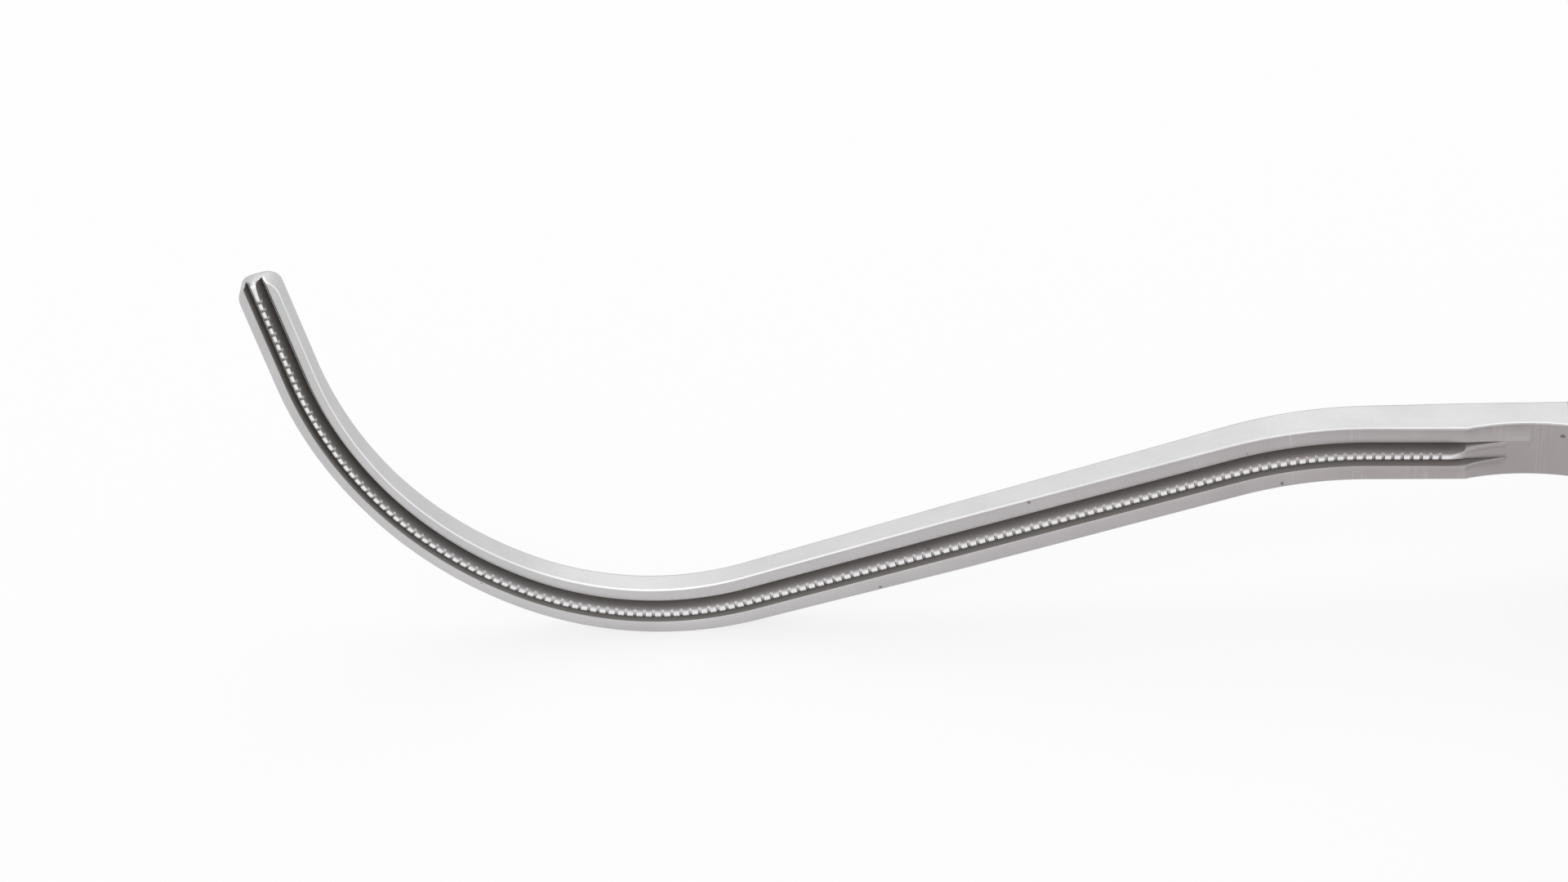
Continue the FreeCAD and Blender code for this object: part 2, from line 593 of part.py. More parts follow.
def make_fixed_jaw():
    """Fixed blade, flared joint block with the slot for the tang, and the tongue into the shaft."""
    blade = feature("fixed_blade", fixed_blade_shape())
    half = "Sizes.shaft_radius"
    plan = profile_plate("joint_block_plan", "XZ_Plane", [
        ("Sizes.block_front", "-Sizes.root_half_width"),
        ("Sizes.block_full", f"-{half}"),
        ("Sizes.block_rear", f"-{half}"),
        ("Sizes.block_rear", half),
        ("Sizes.block_full", half),
        ("Sizes.block_front", "Sizes.root_half_width"),
    ], HALF_GAP, "Sizes.block_thickness")
    side = profile_plate("joint_block_side", "XY_Plane", [
        ("Sizes.block_front", HALF_GAP),
        ("Sizes.block_rear", HALF_GAP),
        ("Sizes.block_rear", "Sizes.shaft_radius"),
        ("Sizes.block_rear - Sizes.block_rear_slope", "Sizes.block_thickness"),
        ("Sizes.block_front + Sizes.block_front_slope", "Sizes.block_thickness"),
        ("Sizes.block_front", "Sizes.heel_thickness"),
    ], f"-{half}", half)
    block_span = ("Sizes.block_front", "Sizes.block_rear")
    barrel = long_rod("joint_block_barrel", "Sizes.block_barrel_radius", *block_span)
    block = shared("joint_block", shared("joint_block_outline", plan, side), barrel)
    tongue = middle_box(
        "jaw_tongue",
        ("Sizes.block_rear - Sizes.joint_overlap", TONGUE_END),
        (f"{TONGUE_MIDDLE} - Sizes.tongue_thickness / 2", f"{TONGUE_MIDDLE} + Sizes.tongue_thickness / 2"),
        "Sizes.tongue_width / 2",
    )
    swing = "(Sizes.drive_radius + Sizes.tang_lobe_radius)"
    slot_reach = f"({STROKE} / 2 + Sizes.tang_lobe_radius + Sizes.slot_end_gap)"
    slot = middle_box(
        "joint_slot",
        (f"Sizes.jaw_pivot_x - {slot_reach}", f"Sizes.jaw_pivot_x + {slot_reach}"),
        (f"-{swing}", "Sizes.block_thickness - Sizes.block_floor"),
        SLOT_HALF,
    )
    relief = relief_tool("fixed_relief", "0", "1")
    pivot = upright_rod(
        "joint_bore", "Sizes.jaw_pivot_x", "Sizes.jaw_pivot_y", "Sizes.pivot_shank_radius", f"-{half}", half
    )
    recess = upright_rod(
        "joint_recess", "Sizes.jaw_pivot_x", "Sizes.jaw_pivot_y", "Sizes.pivot_head_radius",
        f"{half} - Sizes.pivot_head_height", half,
    )
    holes = [dowel_rod(f"tongue_hole_{place}", x) for place, x in DOWEL_PLACES.items()]
    whole = fused("fixed_jaw_blank", blade, block, tongue)
    return carved("fixed_jaw", whole, slot, relief, pivot, recess, *holes)


def dowel_rod(name, x):
    """Straight dowel across the shaft and the jaw's tongue."""
    half = "Sizes.shaft_radius"
    return upright_rod(name, x, TONGUE_MIDDLE, "Sizes.dowel_radius", f"-{half}", half)


def make_jaw_dowel(place, x):
    """Dowel ground flush with the round of the shaft."""
    skin = long_rod(f"jaw_dowel_skin_{place}", "Sizes.shaft_radius", "Sizes.block_rear", TONGUE_END)
    return shared(f"jaw_dowel_{place}", dowel_rod(f"jaw_dowel_rod_{place}", x), skin)


# Shaft halves and guide studs


def make_fixed_shaft_bar():
    """Upper half of the shaft, slotted for the jaw's tongue, with a tang for the handle block."""
    rod = long_rod("fixed_bar_rod", "Sizes.shaft_radius", "Sizes.block_rear", "Sizes.shaft_end")
    upper = middle_box(
        "fixed_bar_half",
        ("Sizes.block_rear", "Sizes.shaft_end"),
        (HALF_GAP, "Sizes.shaft_radius"),
        "Sizes.shaft_radius",
    )
    tang = middle_box(
        "fixed_bar_tang",
        ("Sizes.shaft_end - Sizes.joint_overlap", SHAFT_TANG_END),
        ("Sizes.shaft_tang_bottom", "Sizes.shaft_tang_bottom + Sizes.shaft_tang_thickness"),
        "Sizes.shaft_tang_width / 2",
    )
    slot = middle_box(
        "tongue_slot",
        ("Sizes.block_rear", TONGUE_END),
        (f"{TONGUE_MIDDLE} - Sizes.tongue_thickness / 2", f"{TONGUE_MIDDLE} + Sizes.tongue_thickness / 2"),
        "Sizes.tongue_width / 2",
    )
    tools = [slot]
    tools += [dowel_rod(f"bar_dowel_hole_{place}", x) for place, x in DOWEL_PLACES.items()]
    tools += [
        cross_rod(f"stud_seat_{place}", x, "Sizes.stud_radius", "0", "Sizes.stud_seat")
        for place, x in STUD_PLACES.items()
    ]
    tools += [rivet_rod(f"tang_rivet_hole_{place}", x) for place, x in RIVET_PLACES.items()]
    half_round = shared("fixed_bar_round", rod, upper)
    return carved("fixed_shaft_bar", fused("fixed_bar_blank", half_round, tang), *tools)


def make_guide_stud(place, x):
    """Headed stud, seated in the fixed half, that carries the sliding half."""
    under_head = "-Sizes.stud_ledge - Sizes.stud_gap"
    shank = cross_rod(f"stud_shank_{place}", x, "Sizes.stud_radius", under_head, "Sizes.stud_seat")
    head_end = f"{under_head} - Sizes.stud_head_height"
    head = cross_rod(f"stud_head_{place}", x, "Sizes.stud_head_radius", head_end, under_head)
    return fused(f"guide_stud_{place}", shank, head)


def long_hole(name, x, radius, low, high):
    """Oblong hole across the sliding bar, long enough for its stroke behind a stud."""
    start = f"({x} - {STROKE})"
    ends = [
        cross_rod(f"{name}_near", x, radius, low, high),
        cross_rod(f"{name}_far", start, radius, low, high),
    ]
    middle = middle_box(f"{name}_middle", (start, x), (low, high), f"({radius})")
    return fused(name, middle, *ends)


def make_sliding_bar():
    """Lower half of the shaft: fork and drive notches in front, link fork behind, stud holes between."""
    end = f"({LINK_X} + Sizes.link_end)"
    rod = long_rod("sliding_bar_rod", "Sizes.shaft_radius", BAR_FRONT, end)
    lower = middle_box(
        "sliding_bar_half", (BAR_FRONT, end), ("-Sizes.shaft_radius", f"-{HALF_GAP}"), "Sizes.shaft_radius"
    )
    through = ("-Sizes.shaft_radius", "0")
    front_fork = middle_box(
        "front_fork_slot",
        (BAR_FRONT, f"{DRIVE_X} + Sizes.drive_radius + Sizes.tang_radius - Sizes.drive_pin_radius"),
        through,
        SLOT_HALF,
    )
    notch_half = "(Sizes.drive_pin_radius + Sizes.drive_side_gap)"
    notch = box(
        "drive_notch",
        (f"{DRIVE_X} - {notch_half}", f"{DRIVE_X} + {notch_half}"),
        (DRIVE_LOW, "0"),
        ("-Sizes.shaft_radius", "Sizes.shaft_radius"),
    )
    notch_end = upright_rod(
        "drive_notch_end", DRIVE_X, DRIVE_LOW, notch_half, "-Sizes.shaft_radius", "Sizes.shaft_radius"
    )
    rear_fork = middle_box("link_fork_slot", (f"{LINK_X} - Sizes.link_slot_reach", end), through, SLOT_HALF)
    pin_hole = link_pin_rod("link_pin_hole", LINK_X)
    narrow_from = f"(Sizes.cheek_front - {STROKE} - 2 * Sizes.cheek_gap)"
    sides = [
        box(f"bar_side_{side}", (narrow_from, end), through, heights)
        for side, heights in (
            ("top", ("Sizes.link_half_width", "Sizes.shaft_radius")),
            ("bottom", ("-Sizes.shaft_radius", "-Sizes.link_half_width")),
        )
    ]
    holes = []
    for place, x in STUD_PLACES.items():
        holes.append(long_hole(f"stud_slot_{place}", x, "Sizes.stud_radius + Sizes.stud_gap", *through))
        head_room = ("-Sizes.shaft_radius", "-Sizes.stud_ledge")
        head_radius = "Sizes.stud_head_radius + Sizes.stud_gap"
        holes.append(long_hole(f"stud_track_{place}", x, head_radius, *head_room))
    half_round = shared("sliding_bar_round", rod, lower)
    tools = [front_fork, notch, notch_end, rear_fork, pin_hole, *sides, *holes]
    bar = carved("sliding_bar", half_round, *tools)
    return bind(bar, Placement__Base__x=STROKE)


# Moving jaw and its pins


def make_moving_jaw():
    """Moving blade with the thin tang that turns in the joint block and carries the drive pin."""
    blade = feature("moving_blade", moving_blade_shape())
    root_x = "(Sizes.jaw_pivot_x - Sizes.root_clearance)"
    face_y = "(-Sizes.jaw_gap)"
    lobe = "Sizes.tang_lobe_radius"
    pivot_round = ("Sizes.jaw_pivot_x", "Sizes.jaw_pivot_y", "Sizes.tang_radius")
    pin_round = (DRIVE_X, DRIVE_Y, lobe)
    neck = profile_plate("tang_neck", "XY_Plane", [
        (f"{root_x} - {lobe}", face_y),
        (f"{DRIVE_X} - {lobe}", face_y),
        round_corner(*pivot_round, "Sizes.tang_front_angle"),
        round_corner(*pivot_round, "Sizes.tang_rear_angle"),
        round_corner(*pin_round, "Sizes.lobe_rear_angle"),
        round_corner(*pin_round, "Sizes.lobe_front_angle"),
        (f"{root_x} - {lobe}", f"{face_y} - Sizes.tang_neck_depth"),
    ], f"-{TANG_HALF}", TANG_HALF)
    through = (f"-{TANG_HALF}", TANG_HALF)
    disc = upright_rod("tang_disc", *pivot_round, *through)
    pin_lobe = upright_rod("tang_lobe", *pin_round, *through)
    bore_radius = "Sizes.pivot_shank_radius + Sizes.running_gap"
    bore = upright_rod("tang_bore", "Sizes.jaw_pivot_x", "Sizes.jaw_pivot_y", bore_radius, *through)
    pin_hole = upright_rod("tang_pin_hole", DRIVE_X, DRIVE_Y, "Sizes.drive_pin_radius", *through)
    relief = relief_tool("moving_relief", "-Sizes.jaw_gap", "-1")
    blank = fused("moving_jaw_blank", blade, neck, disc, pin_lobe)
    jaw = carved("moving_jaw", blank, relief, bore, pin_hole)
    return bind(jaw, Placement=JAW_OPEN)


def make_jaw_drive_pin():
    """Pin pressed across the tang, running in the notches of the sliding bar."""
    half = "Sizes.drive_pin_half_length"
    open_x = f"Sizes.jaw_pivot_x + {STROKE} / 2"
    return upright_rod("jaw_drive_pin", open_x, DRIVE_Y, "Sizes.drive_pin_radius", f"-{half}", half)


def slotted_screw(name, x, y, shank_radius, head_radius, head_height, half_length):
    """Flush screw with its head up and a straight driver slot."""
    neck = f"({half_length} - {head_height})"
    slot_half = f"({head_radius} * Sizes.driver_slot_share)"
    shank = upright_rod(f"{name}_shank", x, y, shank_radius, f"-{half_length}", neck)
    head = upright_rod(f"{name}_head", x, y, head_radius, neck, half_length)
    slot = box(
        f"{name}_driver_slot",
        (f"{x} - {head_radius}", f"{x} + {head_radius}"),
        (f"{y} - {slot_half}", f"{y} + {slot_half}"),
        (f"{half_length} - {head_height} / 2", half_length),
    )
    return carved(name, fused(f"{name}_blank", shank, head), slot)


# Handle block, shanks, rings and their pins


def rivet_rod(name, x):
    """Rivet across the handle block and the shaft's tang, flush on both sides."""
    return upright_rod(name, x, SHAFT_TANG_MIDDLE, "Sizes.rivet_radius", f"-{CHEEK_OUTER}", CHEEK_OUTER)


def link_pin_rod(name, x):
    """Pin across the bar's link fork."""
    half = "Sizes.link_half_width"
    return upright_rod(name, x, LINK_Y, "Sizes.link_pin_radius", f"-{half}", half)


def finger_ring(name, side):
    """Ring with rounded edges; side is 1 for the fixed and -1 for the moving handle."""
    body = doc.addObject("PartDesign::Body", name)
    plane = [feature for feature in body.Origin.OriginFeatures if feature.Role == "XY_Plane"][0]
    sketch = body.newObject("Sketcher::SketchObject", f"{name}_outline")
    sketch.AttachmentSupport = [(plane, "")]
    sketch.MapMode = "FlatFace"
    for start_radius, radius in enumerate(("Sizes.ring_hole_radius", RING_RADIUS), 1):
        circle = sketch.addGeometry(Part.Circle(Vector(), Vector(0, 0, 1), start_radius))
        sketch.addConstraint(Sketcher.Constraint("Coincident", circle, 3, -1, 1))
        index = sketch.addConstraint(Sketcher.Constraint("Radius", circle, start_radius))
        sketch.setExpression(f"Constraints[{index}]", radius)
    pad = body.newObject("PartDesign::Pad", f"{name}_pad")
    pad.Profile = sketch
    pad.SideType = "Symmetric"
    pad.setExpression("Length", "Sizes.ring_height")
    doc.recompute()
    circles = [
        f"Edge{number}"
        for number, edge in enumerate(pad.Shape.Edges, 1)
        if isinstance(edge.Curve, Part.Circle)
    ]
    rounding = body.newObject("PartDesign::Fillet", f"{name}_rounding")
    rounding.Base = (pad, circles)
    rounding.setExpression("Radius", "Sizes.ring_rounding")
    return bind(body, Placement__Base__x="Sizes.ring_x", Placement__Base__y=f"{side} * Sizes.ring_y")


def handle_shank(name, start_x, start_y, ring_side, half_height):
    """Tapered shank of oval section from a start point to the near side of its ring."""
    end_y = f"({ring_side} * Sizes.ring_y)"
    bearing = f"atan(({end_y} - ({start_y})) / (Sizes.ring_x - ({start_x})))"
    inside = f"({RING_RADIUS} - Sizes.shank_sink)"
    sections = []
    stations = [
        ("root", start_x, start_y, "Sizes.shank_root_half_depth"),
        ("end", f"Sizes.ring_x - {inside} * cos({bearing})", f"{end_y} - {inside} * sin({bearing})",
         "Sizes.shank_end_half_depth"),
    ]
    for place, x, y, half_depth in stations:
        oval = doc.addObject("Part::Ellipse", f"{name}_{place}")
        radii = f"({half_depth}; {half_height})"
        bind(oval, MajorRadius=f"max{radii}", MinorRadius=f"min{radii}")
        turn = f"({half_depth} > {half_height} ? 90 : 0)"
        oval.setExpression("Placement", (
            f"placement(vector({x}; {y}; 0); rotation(vector(0; 0; 1); {bearing})) * "
            f"placement(vector(0; 0; 0); rotation(vector(0; 1; 0); 90)) * "
            f"placement(vector(0; 0; 0); rotation(vector(0; 0; 1); {turn}))"
        ))
        sections.append(oval)
    shank = doc.addObject("Part::Loft", name)
    shank.Sections = sections
    shank.Solid = True
    return shank


def make_fixed_handle(ratchet):
    """Handle block that takes the shaft's tang, cheeks for the moving hub, shank and finger ring."""
    boss_round = ("Sizes.handle_pivot_x", "Sizes.handle_pivot_y", "Sizes.boss_radius")
    lowest = "(Sizes.handle_pivot_y - 2 * Sizes.boss_radius)"
    side = profile_plate("handle_block_side", "XY_Plane", [
        ("Sizes.shaft_end", HALF_GAP),
        ("Sizes.cheek_front", HALF_GAP),
        ("Sizes.cheek_front", "-Sizes.cheek_front_depth"),
        round_corner(*boss_round, "Sizes.cheek_corner_angle + 180"),
        round_corner(*boss_round, "-Sizes.cheek_corner_angle"),
        ("Sizes.block_heel_x", "-Sizes.block_heel_depth"),
        ("Sizes.handle_block_rear", HALF_GAP),
        ("Sizes.handle_block_rear", "Sizes.handle_block_top"),
        ("Sizes.shaft_end + Sizes.block_nose_length", "Sizes.handle_block_top"),
        ("Sizes.shaft_end", "Sizes.handle_block_top - Sizes.block_nose_height"),
    ], f"-{CHEEK_OUTER}", CHEEK_OUTER)
    plan = profile_plate("handle_block_plan", "XZ_Plane", [
        ("Sizes.shaft_end", f"-{CHEEK_OUTER}"),
        ("Sizes.block_slot_rear", f"-{CHEEK_OUTER}"),
        ("Sizes.handle_block_rear", "-Sizes.fixed_shank_half_height"),
        ("Sizes.handle_block_rear", "Sizes.fixed_shank_half_height"),
        ("Sizes.block_slot_rear", CHEEK_OUTER),
        ("Sizes.shaft_end", CHEEK_OUTER),
    ], lowest, "Sizes.handle_block_top")
    block_span = ("Sizes.shaft_end", "Sizes.handle_block_rear")
    barrel = long_rod("handle_barrel", "Sizes.handle_barrel_radius", *block_span)
    below = middle_box("handle_below", block_span, (lowest, HALF_GAP), CHEEK_OUTER)
    skin = fused("handle_skin", barrel, below)
    block = shared("handle_block", shared("handle_block_outline", side, plan), skin)
    boss = upright_rod("handle_boss", *boss_round, f"-{CHEEK_OUTER}", CHEEK_OUTER)
    shank = handle_shank(
        "fixed_shank", "Sizes.fixed_shank_x", "Sizes.fixed_shank_y", "1", "Sizes.fixed_shank_half_height"
    )
    whole = fused("fixed_handle_blank", block, boss, shank, finger_ring("fixed_ring", "1"))
    deep_slot = middle_box(
        "handle_deep_slot",
        ("Sizes.shaft_end", "Sizes.block_slot_rear"),
        (lowest, "Sizes.block_slot_top"),
        CHEEK_INNER,
    )
    rear_slot = middle_box(
        "handle_rear_slot",
        ("Sizes.block_slot_rear", "Sizes.handle_block_rear"),
        (lowest, "-Sizes.rear_slot_depth"),
        CHEEK_INNER,
    )
    tang_slot = middle_box(
        "handle_tang_slot",
        ("Sizes.shaft_end", SHAFT_TANG_END),
        ("Sizes.shaft_tang_bottom", "Sizes.shaft_tang_bottom + Sizes.shaft_tang_thickness"),
        "Sizes.shaft_tang_width / 2",
    )
    bore = upright_rod(
        "handle_bore", "Sizes.handle_pivot_x", "Sizes.handle_pivot_y", "Sizes.screw_radius",
        f"-{CHEEK_OUTER}", CHEEK_OUTER,
    )
    recess = upright_rod(
        "handle_recess", "Sizes.handle_pivot_x", "Sizes.handle_pivot_y", "Sizes.screw_head_radius",
        f"{CHEEK_OUTER} - Sizes.screw_head_height", CHEEK_OUTER,
    )
    rivet_holes = [rivet_rod(f"block_rivet_hole_{place}", x) for place, x in RIVET_PLACES.items()]
    tools = [deep_slot, rear_slot, tang_slot, bore, recess, *rivet_holes, ratchet]
    tools.append(ratchet_rivet_rod("fixed_shank_rivet_hole", FIXED_RIVET_ANGLE, *RIVET_SPANS["fixed"]))
    handle = carved("fixed_handle", whole, *tools)
    return handle, shank


def make_moving_handle(ratchet):
    """Hub with the nose that drives the link pin, shank and finger ring."""
    x = "Sizes.handle_pivot_x"
    y = "Sizes.handle_pivot_y"
    hub_half = "Sizes.link_half_width"
    hub = upright_rod("handle_hub", x, y, "Sizes.hub_radius", f"-{hub_half}", hub_half)
    lean = f"placement(vector({x}; {y}; 0); rotation(vector(0; 0; 1); {HALF_SWING}))"
    pin_room = "(Sizes.link_pin_radius + Sizes.link_pin_gap)"
    reach = f"({LINK_FAR} + {pin_room} + Sizes.nose_wall - Sizes.nose_half_width)"
    nose = leaning_bar("handle_nose", lean, "0", reach, "Sizes.nose_half_width")
    slot = leaning_bar("link_pin_slot", lean, "Sizes.link_height", LINK_FAR, pin_room)
    shank = handle_shank("moving_shank", x, y, "-1", "Sizes.moving_shank_half_height")
    seat = upright_rod("bush_seat", x, y, "Sizes.bush_radius", f"-{hub_half}", hub_half)
    rivet_hole = ratchet_rivet_rod("moving_shank_rivet_hole", MOVING_RIVET_ANGLE, *RIVET_SPANS["moving"])
    whole = fused("moving_handle_blank", hub, nose, shank, finger_ring("moving_ring", "-1"))
    handle = carved("moving_handle", whole, slot, seat, ratchet, rivet_hole)
    return bind(handle, Placement=HANDLE_OPEN), shank


def leaning_bar(name, lean, start, end, half_width):
    """Round-ended bar of the tang's thickness, radial to the handle pivot."""
    unturned = "rotation(vector(0; 0; 1); 0)"
    corner = f"vector(-({half_width}); {start}; -{TANG_HALF})"
    block = doc.addObject("Part::Box", f"{name}_block")
    bind(block, Length=f"2 * {half_width}", Width=f"({end}) - ({start})", Height=f"2 * {TANG_HALF}")
    block.setExpression("Placement", f"{lean} * placement({corner}; {unturned})")
    ends = []
    for place, radial in (("near", start), ("far", end)):
        rod = doc.addObject("Part::Cylinder", f"{name}_{place}")
        bind(rod, Radius=half_width, Height=f"2 * {TANG_HALF}")
        middle = f"vector(0; {radial}; -{TANG_HALF})"
        rod.setExpression("Placement", f"{lean} * placement({middle}; {unturned})")
        ends.append(rod)
    return fused(name, block, *ends)


def make_handle_bush():
    """Bearing bush pressed into the moving hub."""
    x = "Sizes.handle_pivot_x"
    y = "Sizes.handle_pivot_y"
    half = "Sizes.link_half_width"
    sleeve = upright_rod("bush_sleeve", x, y, "Sizes.bush_radius", f"-{half}", half)
    bore = upright_rod("bush_bore", x, y, "Sizes.screw_radius + Sizes.running_gap", f"-{half}", half)
    return carved("handle_pivot_bush", sleeve, bore)


# Ratchet tongues, concentric with the handle pivot


def ratchet_tongue(name, start, end, low, first_notch, step, notch_height):
    """Curved tongue with a row of notches on the side that faces its partner."""
    centre = f"vector(Sizes.handle_pivot_x; Sizes.handle_pivot_y; {low})"
    sector = doc.addObject("Part::Cylinder", f"{name}_sector")
    bind(sector, Radius="Sizes.ratchet_radius + Sizes.ratchet_width / 2", Height="Sizes.ratchet_thickness")
    turned = f"placement({centre}; rotation(vector(0; 0; 1); {start}))"
    bind(sector, Angle=f"({end}) - ({start})", Placement=turned)
    inner = upright_rod(
        f"{name}_inner", "Sizes.handle_pivot_x", "Sizes.handle_pivot_y",
        "Sizes.ratchet_radius - Sizes.ratchet_width / 2", low, f"{low} + Sizes.ratchet_thickness",
    )
    notches = []
    for number in range(int(size("ratchet_tooth_count"))):
        notch = doc.addObject("Part::Box", f"{name}_notch_{number + 1}")
        length = "Sizes.ratchet_notch_length"
        depth = "Sizes.ratchet_tooth_depth"
        bind(notch, Length=length, Width=depth, Height=depth)
        angle = f"({first_notch}) + ({step}) * {number}"
        middle = f"Sizes.handle_pivot_x; Sizes.handle_pivot_y; {notch_height}"
        on_edge = "rotation(vector(1; 0; 0); Sizes.ratchet_notch_turn)"
        notch.setExpression("Placement", (
            f"placement(vector({middle}); rotation(vector(0; 0; 1); {angle})) * "
            f"placement(vector(Sizes.ratchet_radius - {length} / 2; 0; 0); {on_edge}) * "
            f"placement(vector(0; -{depth} / 2; -{depth} / 2); rotation(vector(0; 0; 1); 0))"
        ))
        notches.append(notch)
    return carved(name, sector, inner, *notches)


def ratchet_rivet_rod(name, angle, low, high):
    """Rivet through a shank and its ratchet tongue."""
    x = f"Sizes.handle_pivot_x + Sizes.ratchet_radius * cos({angle})"
    y = f"Sizes.handle_pivot_y + Sizes.ratchet_radius * sin({angle})"
    return upright_rod(name, x, y, "Sizes.rivet_radius", low, high)


def make_ratchets():
    """Both ratchet tongues, each with the hole of its rivet."""
    pitch = "Sizes.ratchet_tooth_pitch"
    split = "Sizes.ratchet_split"
    fixed = ratchet_tongue(
        "fixed_ratchet_blank", "Sizes.fixed_ratchet_start", "Sizes.fixed_ratchet_end", split,
        "Sizes.fixed_ratchet_start + Sizes.ratchet_end_margin", pitch, split,
    )
    moving = ratchet_tongue(
        "moving_ratchet_blank", "Sizes.moving_ratchet_start", "Sizes.moving_ratchet_end",
        f"-{split} - Sizes.ratchet_thickness",
        "Sizes.moving_ratchet_end - Sizes.ratchet_end_margin", f"-{pitch}", f"-{split}",
    )
    fixed_hole = ratchet_rivet_rod("fixed_tongue_hole", FIXED_RIVET_ANGLE, *RIVET_SPANS["fixed"])
    moving_hole = ratchet_rivet_rod("moving_tongue_hole", MOVING_RIVET_ANGLE, *RIVET_SPANS["moving"])
    return {
        "fixed_blank": fixed,
        "moving_blank": moving,
        "fixed_ratchet": carved("fixed_ratchet", fixed, fixed_hole),
        "moving_ratchet": bind(carved("moving_ratchet", moving, moving_hole), Placement=HANDLE_OPEN),
    }


def make_ratchet_rivet(name, angle, side, shank, blank):
    """Rivet ground flush with the oval of its shank and the tongue beside it."""
    rod = ratchet_rivet_rod(f"{name}_rod", angle, *RIVET_SPANS[side])
    return shared(name, rod, fused(f"{name}_skin", shank, blank))


# All pieces by node name

ratchets = make_ratchets()
nodes = {"fixed_jaw": make_fixed_jaw()}
for dowel_place, dowel_x in DOWEL_PLACES.items():
    nodes[f"jaw_dowel_{dowel_place}"] = make_jaw_dowel(dowel_place, dowel_x)
nodes["fixed_shaft_bar"] = make_fixed_shaft_bar()
for stud_place, stud_x in STUD_PLACES.items():
    nodes[f"guide_stud_{stud_place}"] = make_guide_stud(stud_place, stud_x)
nodes["jaw_pivot_screw"] = slotted_screw(
    "jaw_pivot_screw", "Sizes.jaw_pivot_x", "Sizes.jaw_pivot_y",
    "Sizes.pivot_shank_radius", "Sizes.pivot_head_radius", "Sizes.pivot_head_height", "Sizes.shaft_radius",
)
nodes["fixed_handle"], fixed_shank = make_fixed_handle(ratchets["fixed_blank"])
for rivet_place, rivet_x in RIVET_PLACES.items():
    nodes[f"shaft_rivet_{rivet_place}"] = rivet_rod(f"shaft_rivet_{rivet_place}", rivet_x)
nodes["handle_pivot_screw"] = slotted_screw(
    "handle_pivot_screw", "Sizes.handle_pivot_x", "Sizes.handle_pivot_y",
    "Sizes.screw_radius", "Sizes.screw_head_radius", "Sizes.screw_head_height", CHEEK_OUTER,
)
nodes["fixed_ratchet"] = ratchets["fixed_ratchet"]
nodes["fixed_ratchet_rivet"] = make_ratchet_rivet(
    "fixed_ratchet_rivet", FIXED_RIVET_ANGLE, "fixed", fixed_shank, ratchets["fixed_blank"]
)
nodes["sliding_bar"] = make_sliding_bar()
nodes["link_pin"] = link_pin_rod("link_pin", f"{LINK_X} + {STROKE}")
nodes["moving_jaw"] = make_moving_jaw()
nodes["jaw_drive_pin"] = make_jaw_drive_pin()
nodes["moving_handle"], moving_shank = make_moving_handle(ratchets["moving_blank"])
nodes["handle_pivot_bush"] = make_handle_bush()
nodes["moving_ratchet"] = ratchets["moving_ratchet"]
nodes["moving_ratchet_rivet"] = bind(
    make_ratchet_rivet(
        "moving_ratchet_rivet", MOVING_RIVET_ANGLE, "moving", moving_shank, ratchets["moving_blank"]
    ),
    Placement=HANDLE_OPEN,
)

for node_name, piece in nodes.items():
    piece.Label = node_name
doc.recompute()

# Every object has to be sound, and every cut has to remove something, before anything is written

SMALLEST_CUT = 1e-4

for thing in doc.Objects:
    if "Invalid" in thing.State or "Error" in thing.State:
        raise RuntimeError(f"{thing.Label} failed: {thing.State}")
    if thing.TypeId == "Part::Cut" and thing.Base.Shape.Volume - thing.Shape.Volume < SMALLEST_CUT:
        raise RuntimeError(f"{thing.Label} cuts nothing")
for node_name, piece in nodes.items():
    if piece.Shape.isNull() or not piece.Shape.isValid() or len(piece.Shape.Solids) != 1:
        raise RuntimeError(f"{node_name} is not one sound solid")

os.makedirs("parts", exist_ok=True)
for node_name, piece in nodes.items():
    piece.Shape.exportStep(f"parts/{node_name}.step")
    print(f"{node_name}: {piece.Shape.Volume:.1f} cubic millimetres")
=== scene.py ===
import json
import math

import bmesh
import bpy
from mathutils import Matrix, Vector


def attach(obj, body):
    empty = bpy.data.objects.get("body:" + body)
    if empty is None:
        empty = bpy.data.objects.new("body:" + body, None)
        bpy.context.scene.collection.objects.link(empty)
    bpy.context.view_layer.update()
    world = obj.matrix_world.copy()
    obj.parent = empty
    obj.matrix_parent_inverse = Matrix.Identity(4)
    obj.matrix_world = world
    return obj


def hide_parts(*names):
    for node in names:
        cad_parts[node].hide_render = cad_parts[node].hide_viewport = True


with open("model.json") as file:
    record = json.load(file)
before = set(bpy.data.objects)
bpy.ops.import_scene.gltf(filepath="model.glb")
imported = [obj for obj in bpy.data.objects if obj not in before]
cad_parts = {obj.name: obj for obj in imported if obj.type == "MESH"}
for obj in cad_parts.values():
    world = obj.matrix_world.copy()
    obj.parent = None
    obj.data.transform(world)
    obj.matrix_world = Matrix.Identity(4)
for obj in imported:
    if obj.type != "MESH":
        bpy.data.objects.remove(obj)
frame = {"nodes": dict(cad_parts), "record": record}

bl_info = {
    "name": "Thoracoscopic clamp",
    "version": (1, 0, 0),
    "blender": (4, 5, 0),
    "location": "View3D > Sidebar > Clamp",
    "description": "Ground steel jaws, brushed shaft and satin handles of a thoracoscopic clamp",
    "category": "Object",
}

MM = 0.001
JOINTS = {joint["name"]: joint for joint in frame["record"]["behaviour"]["joints"]}


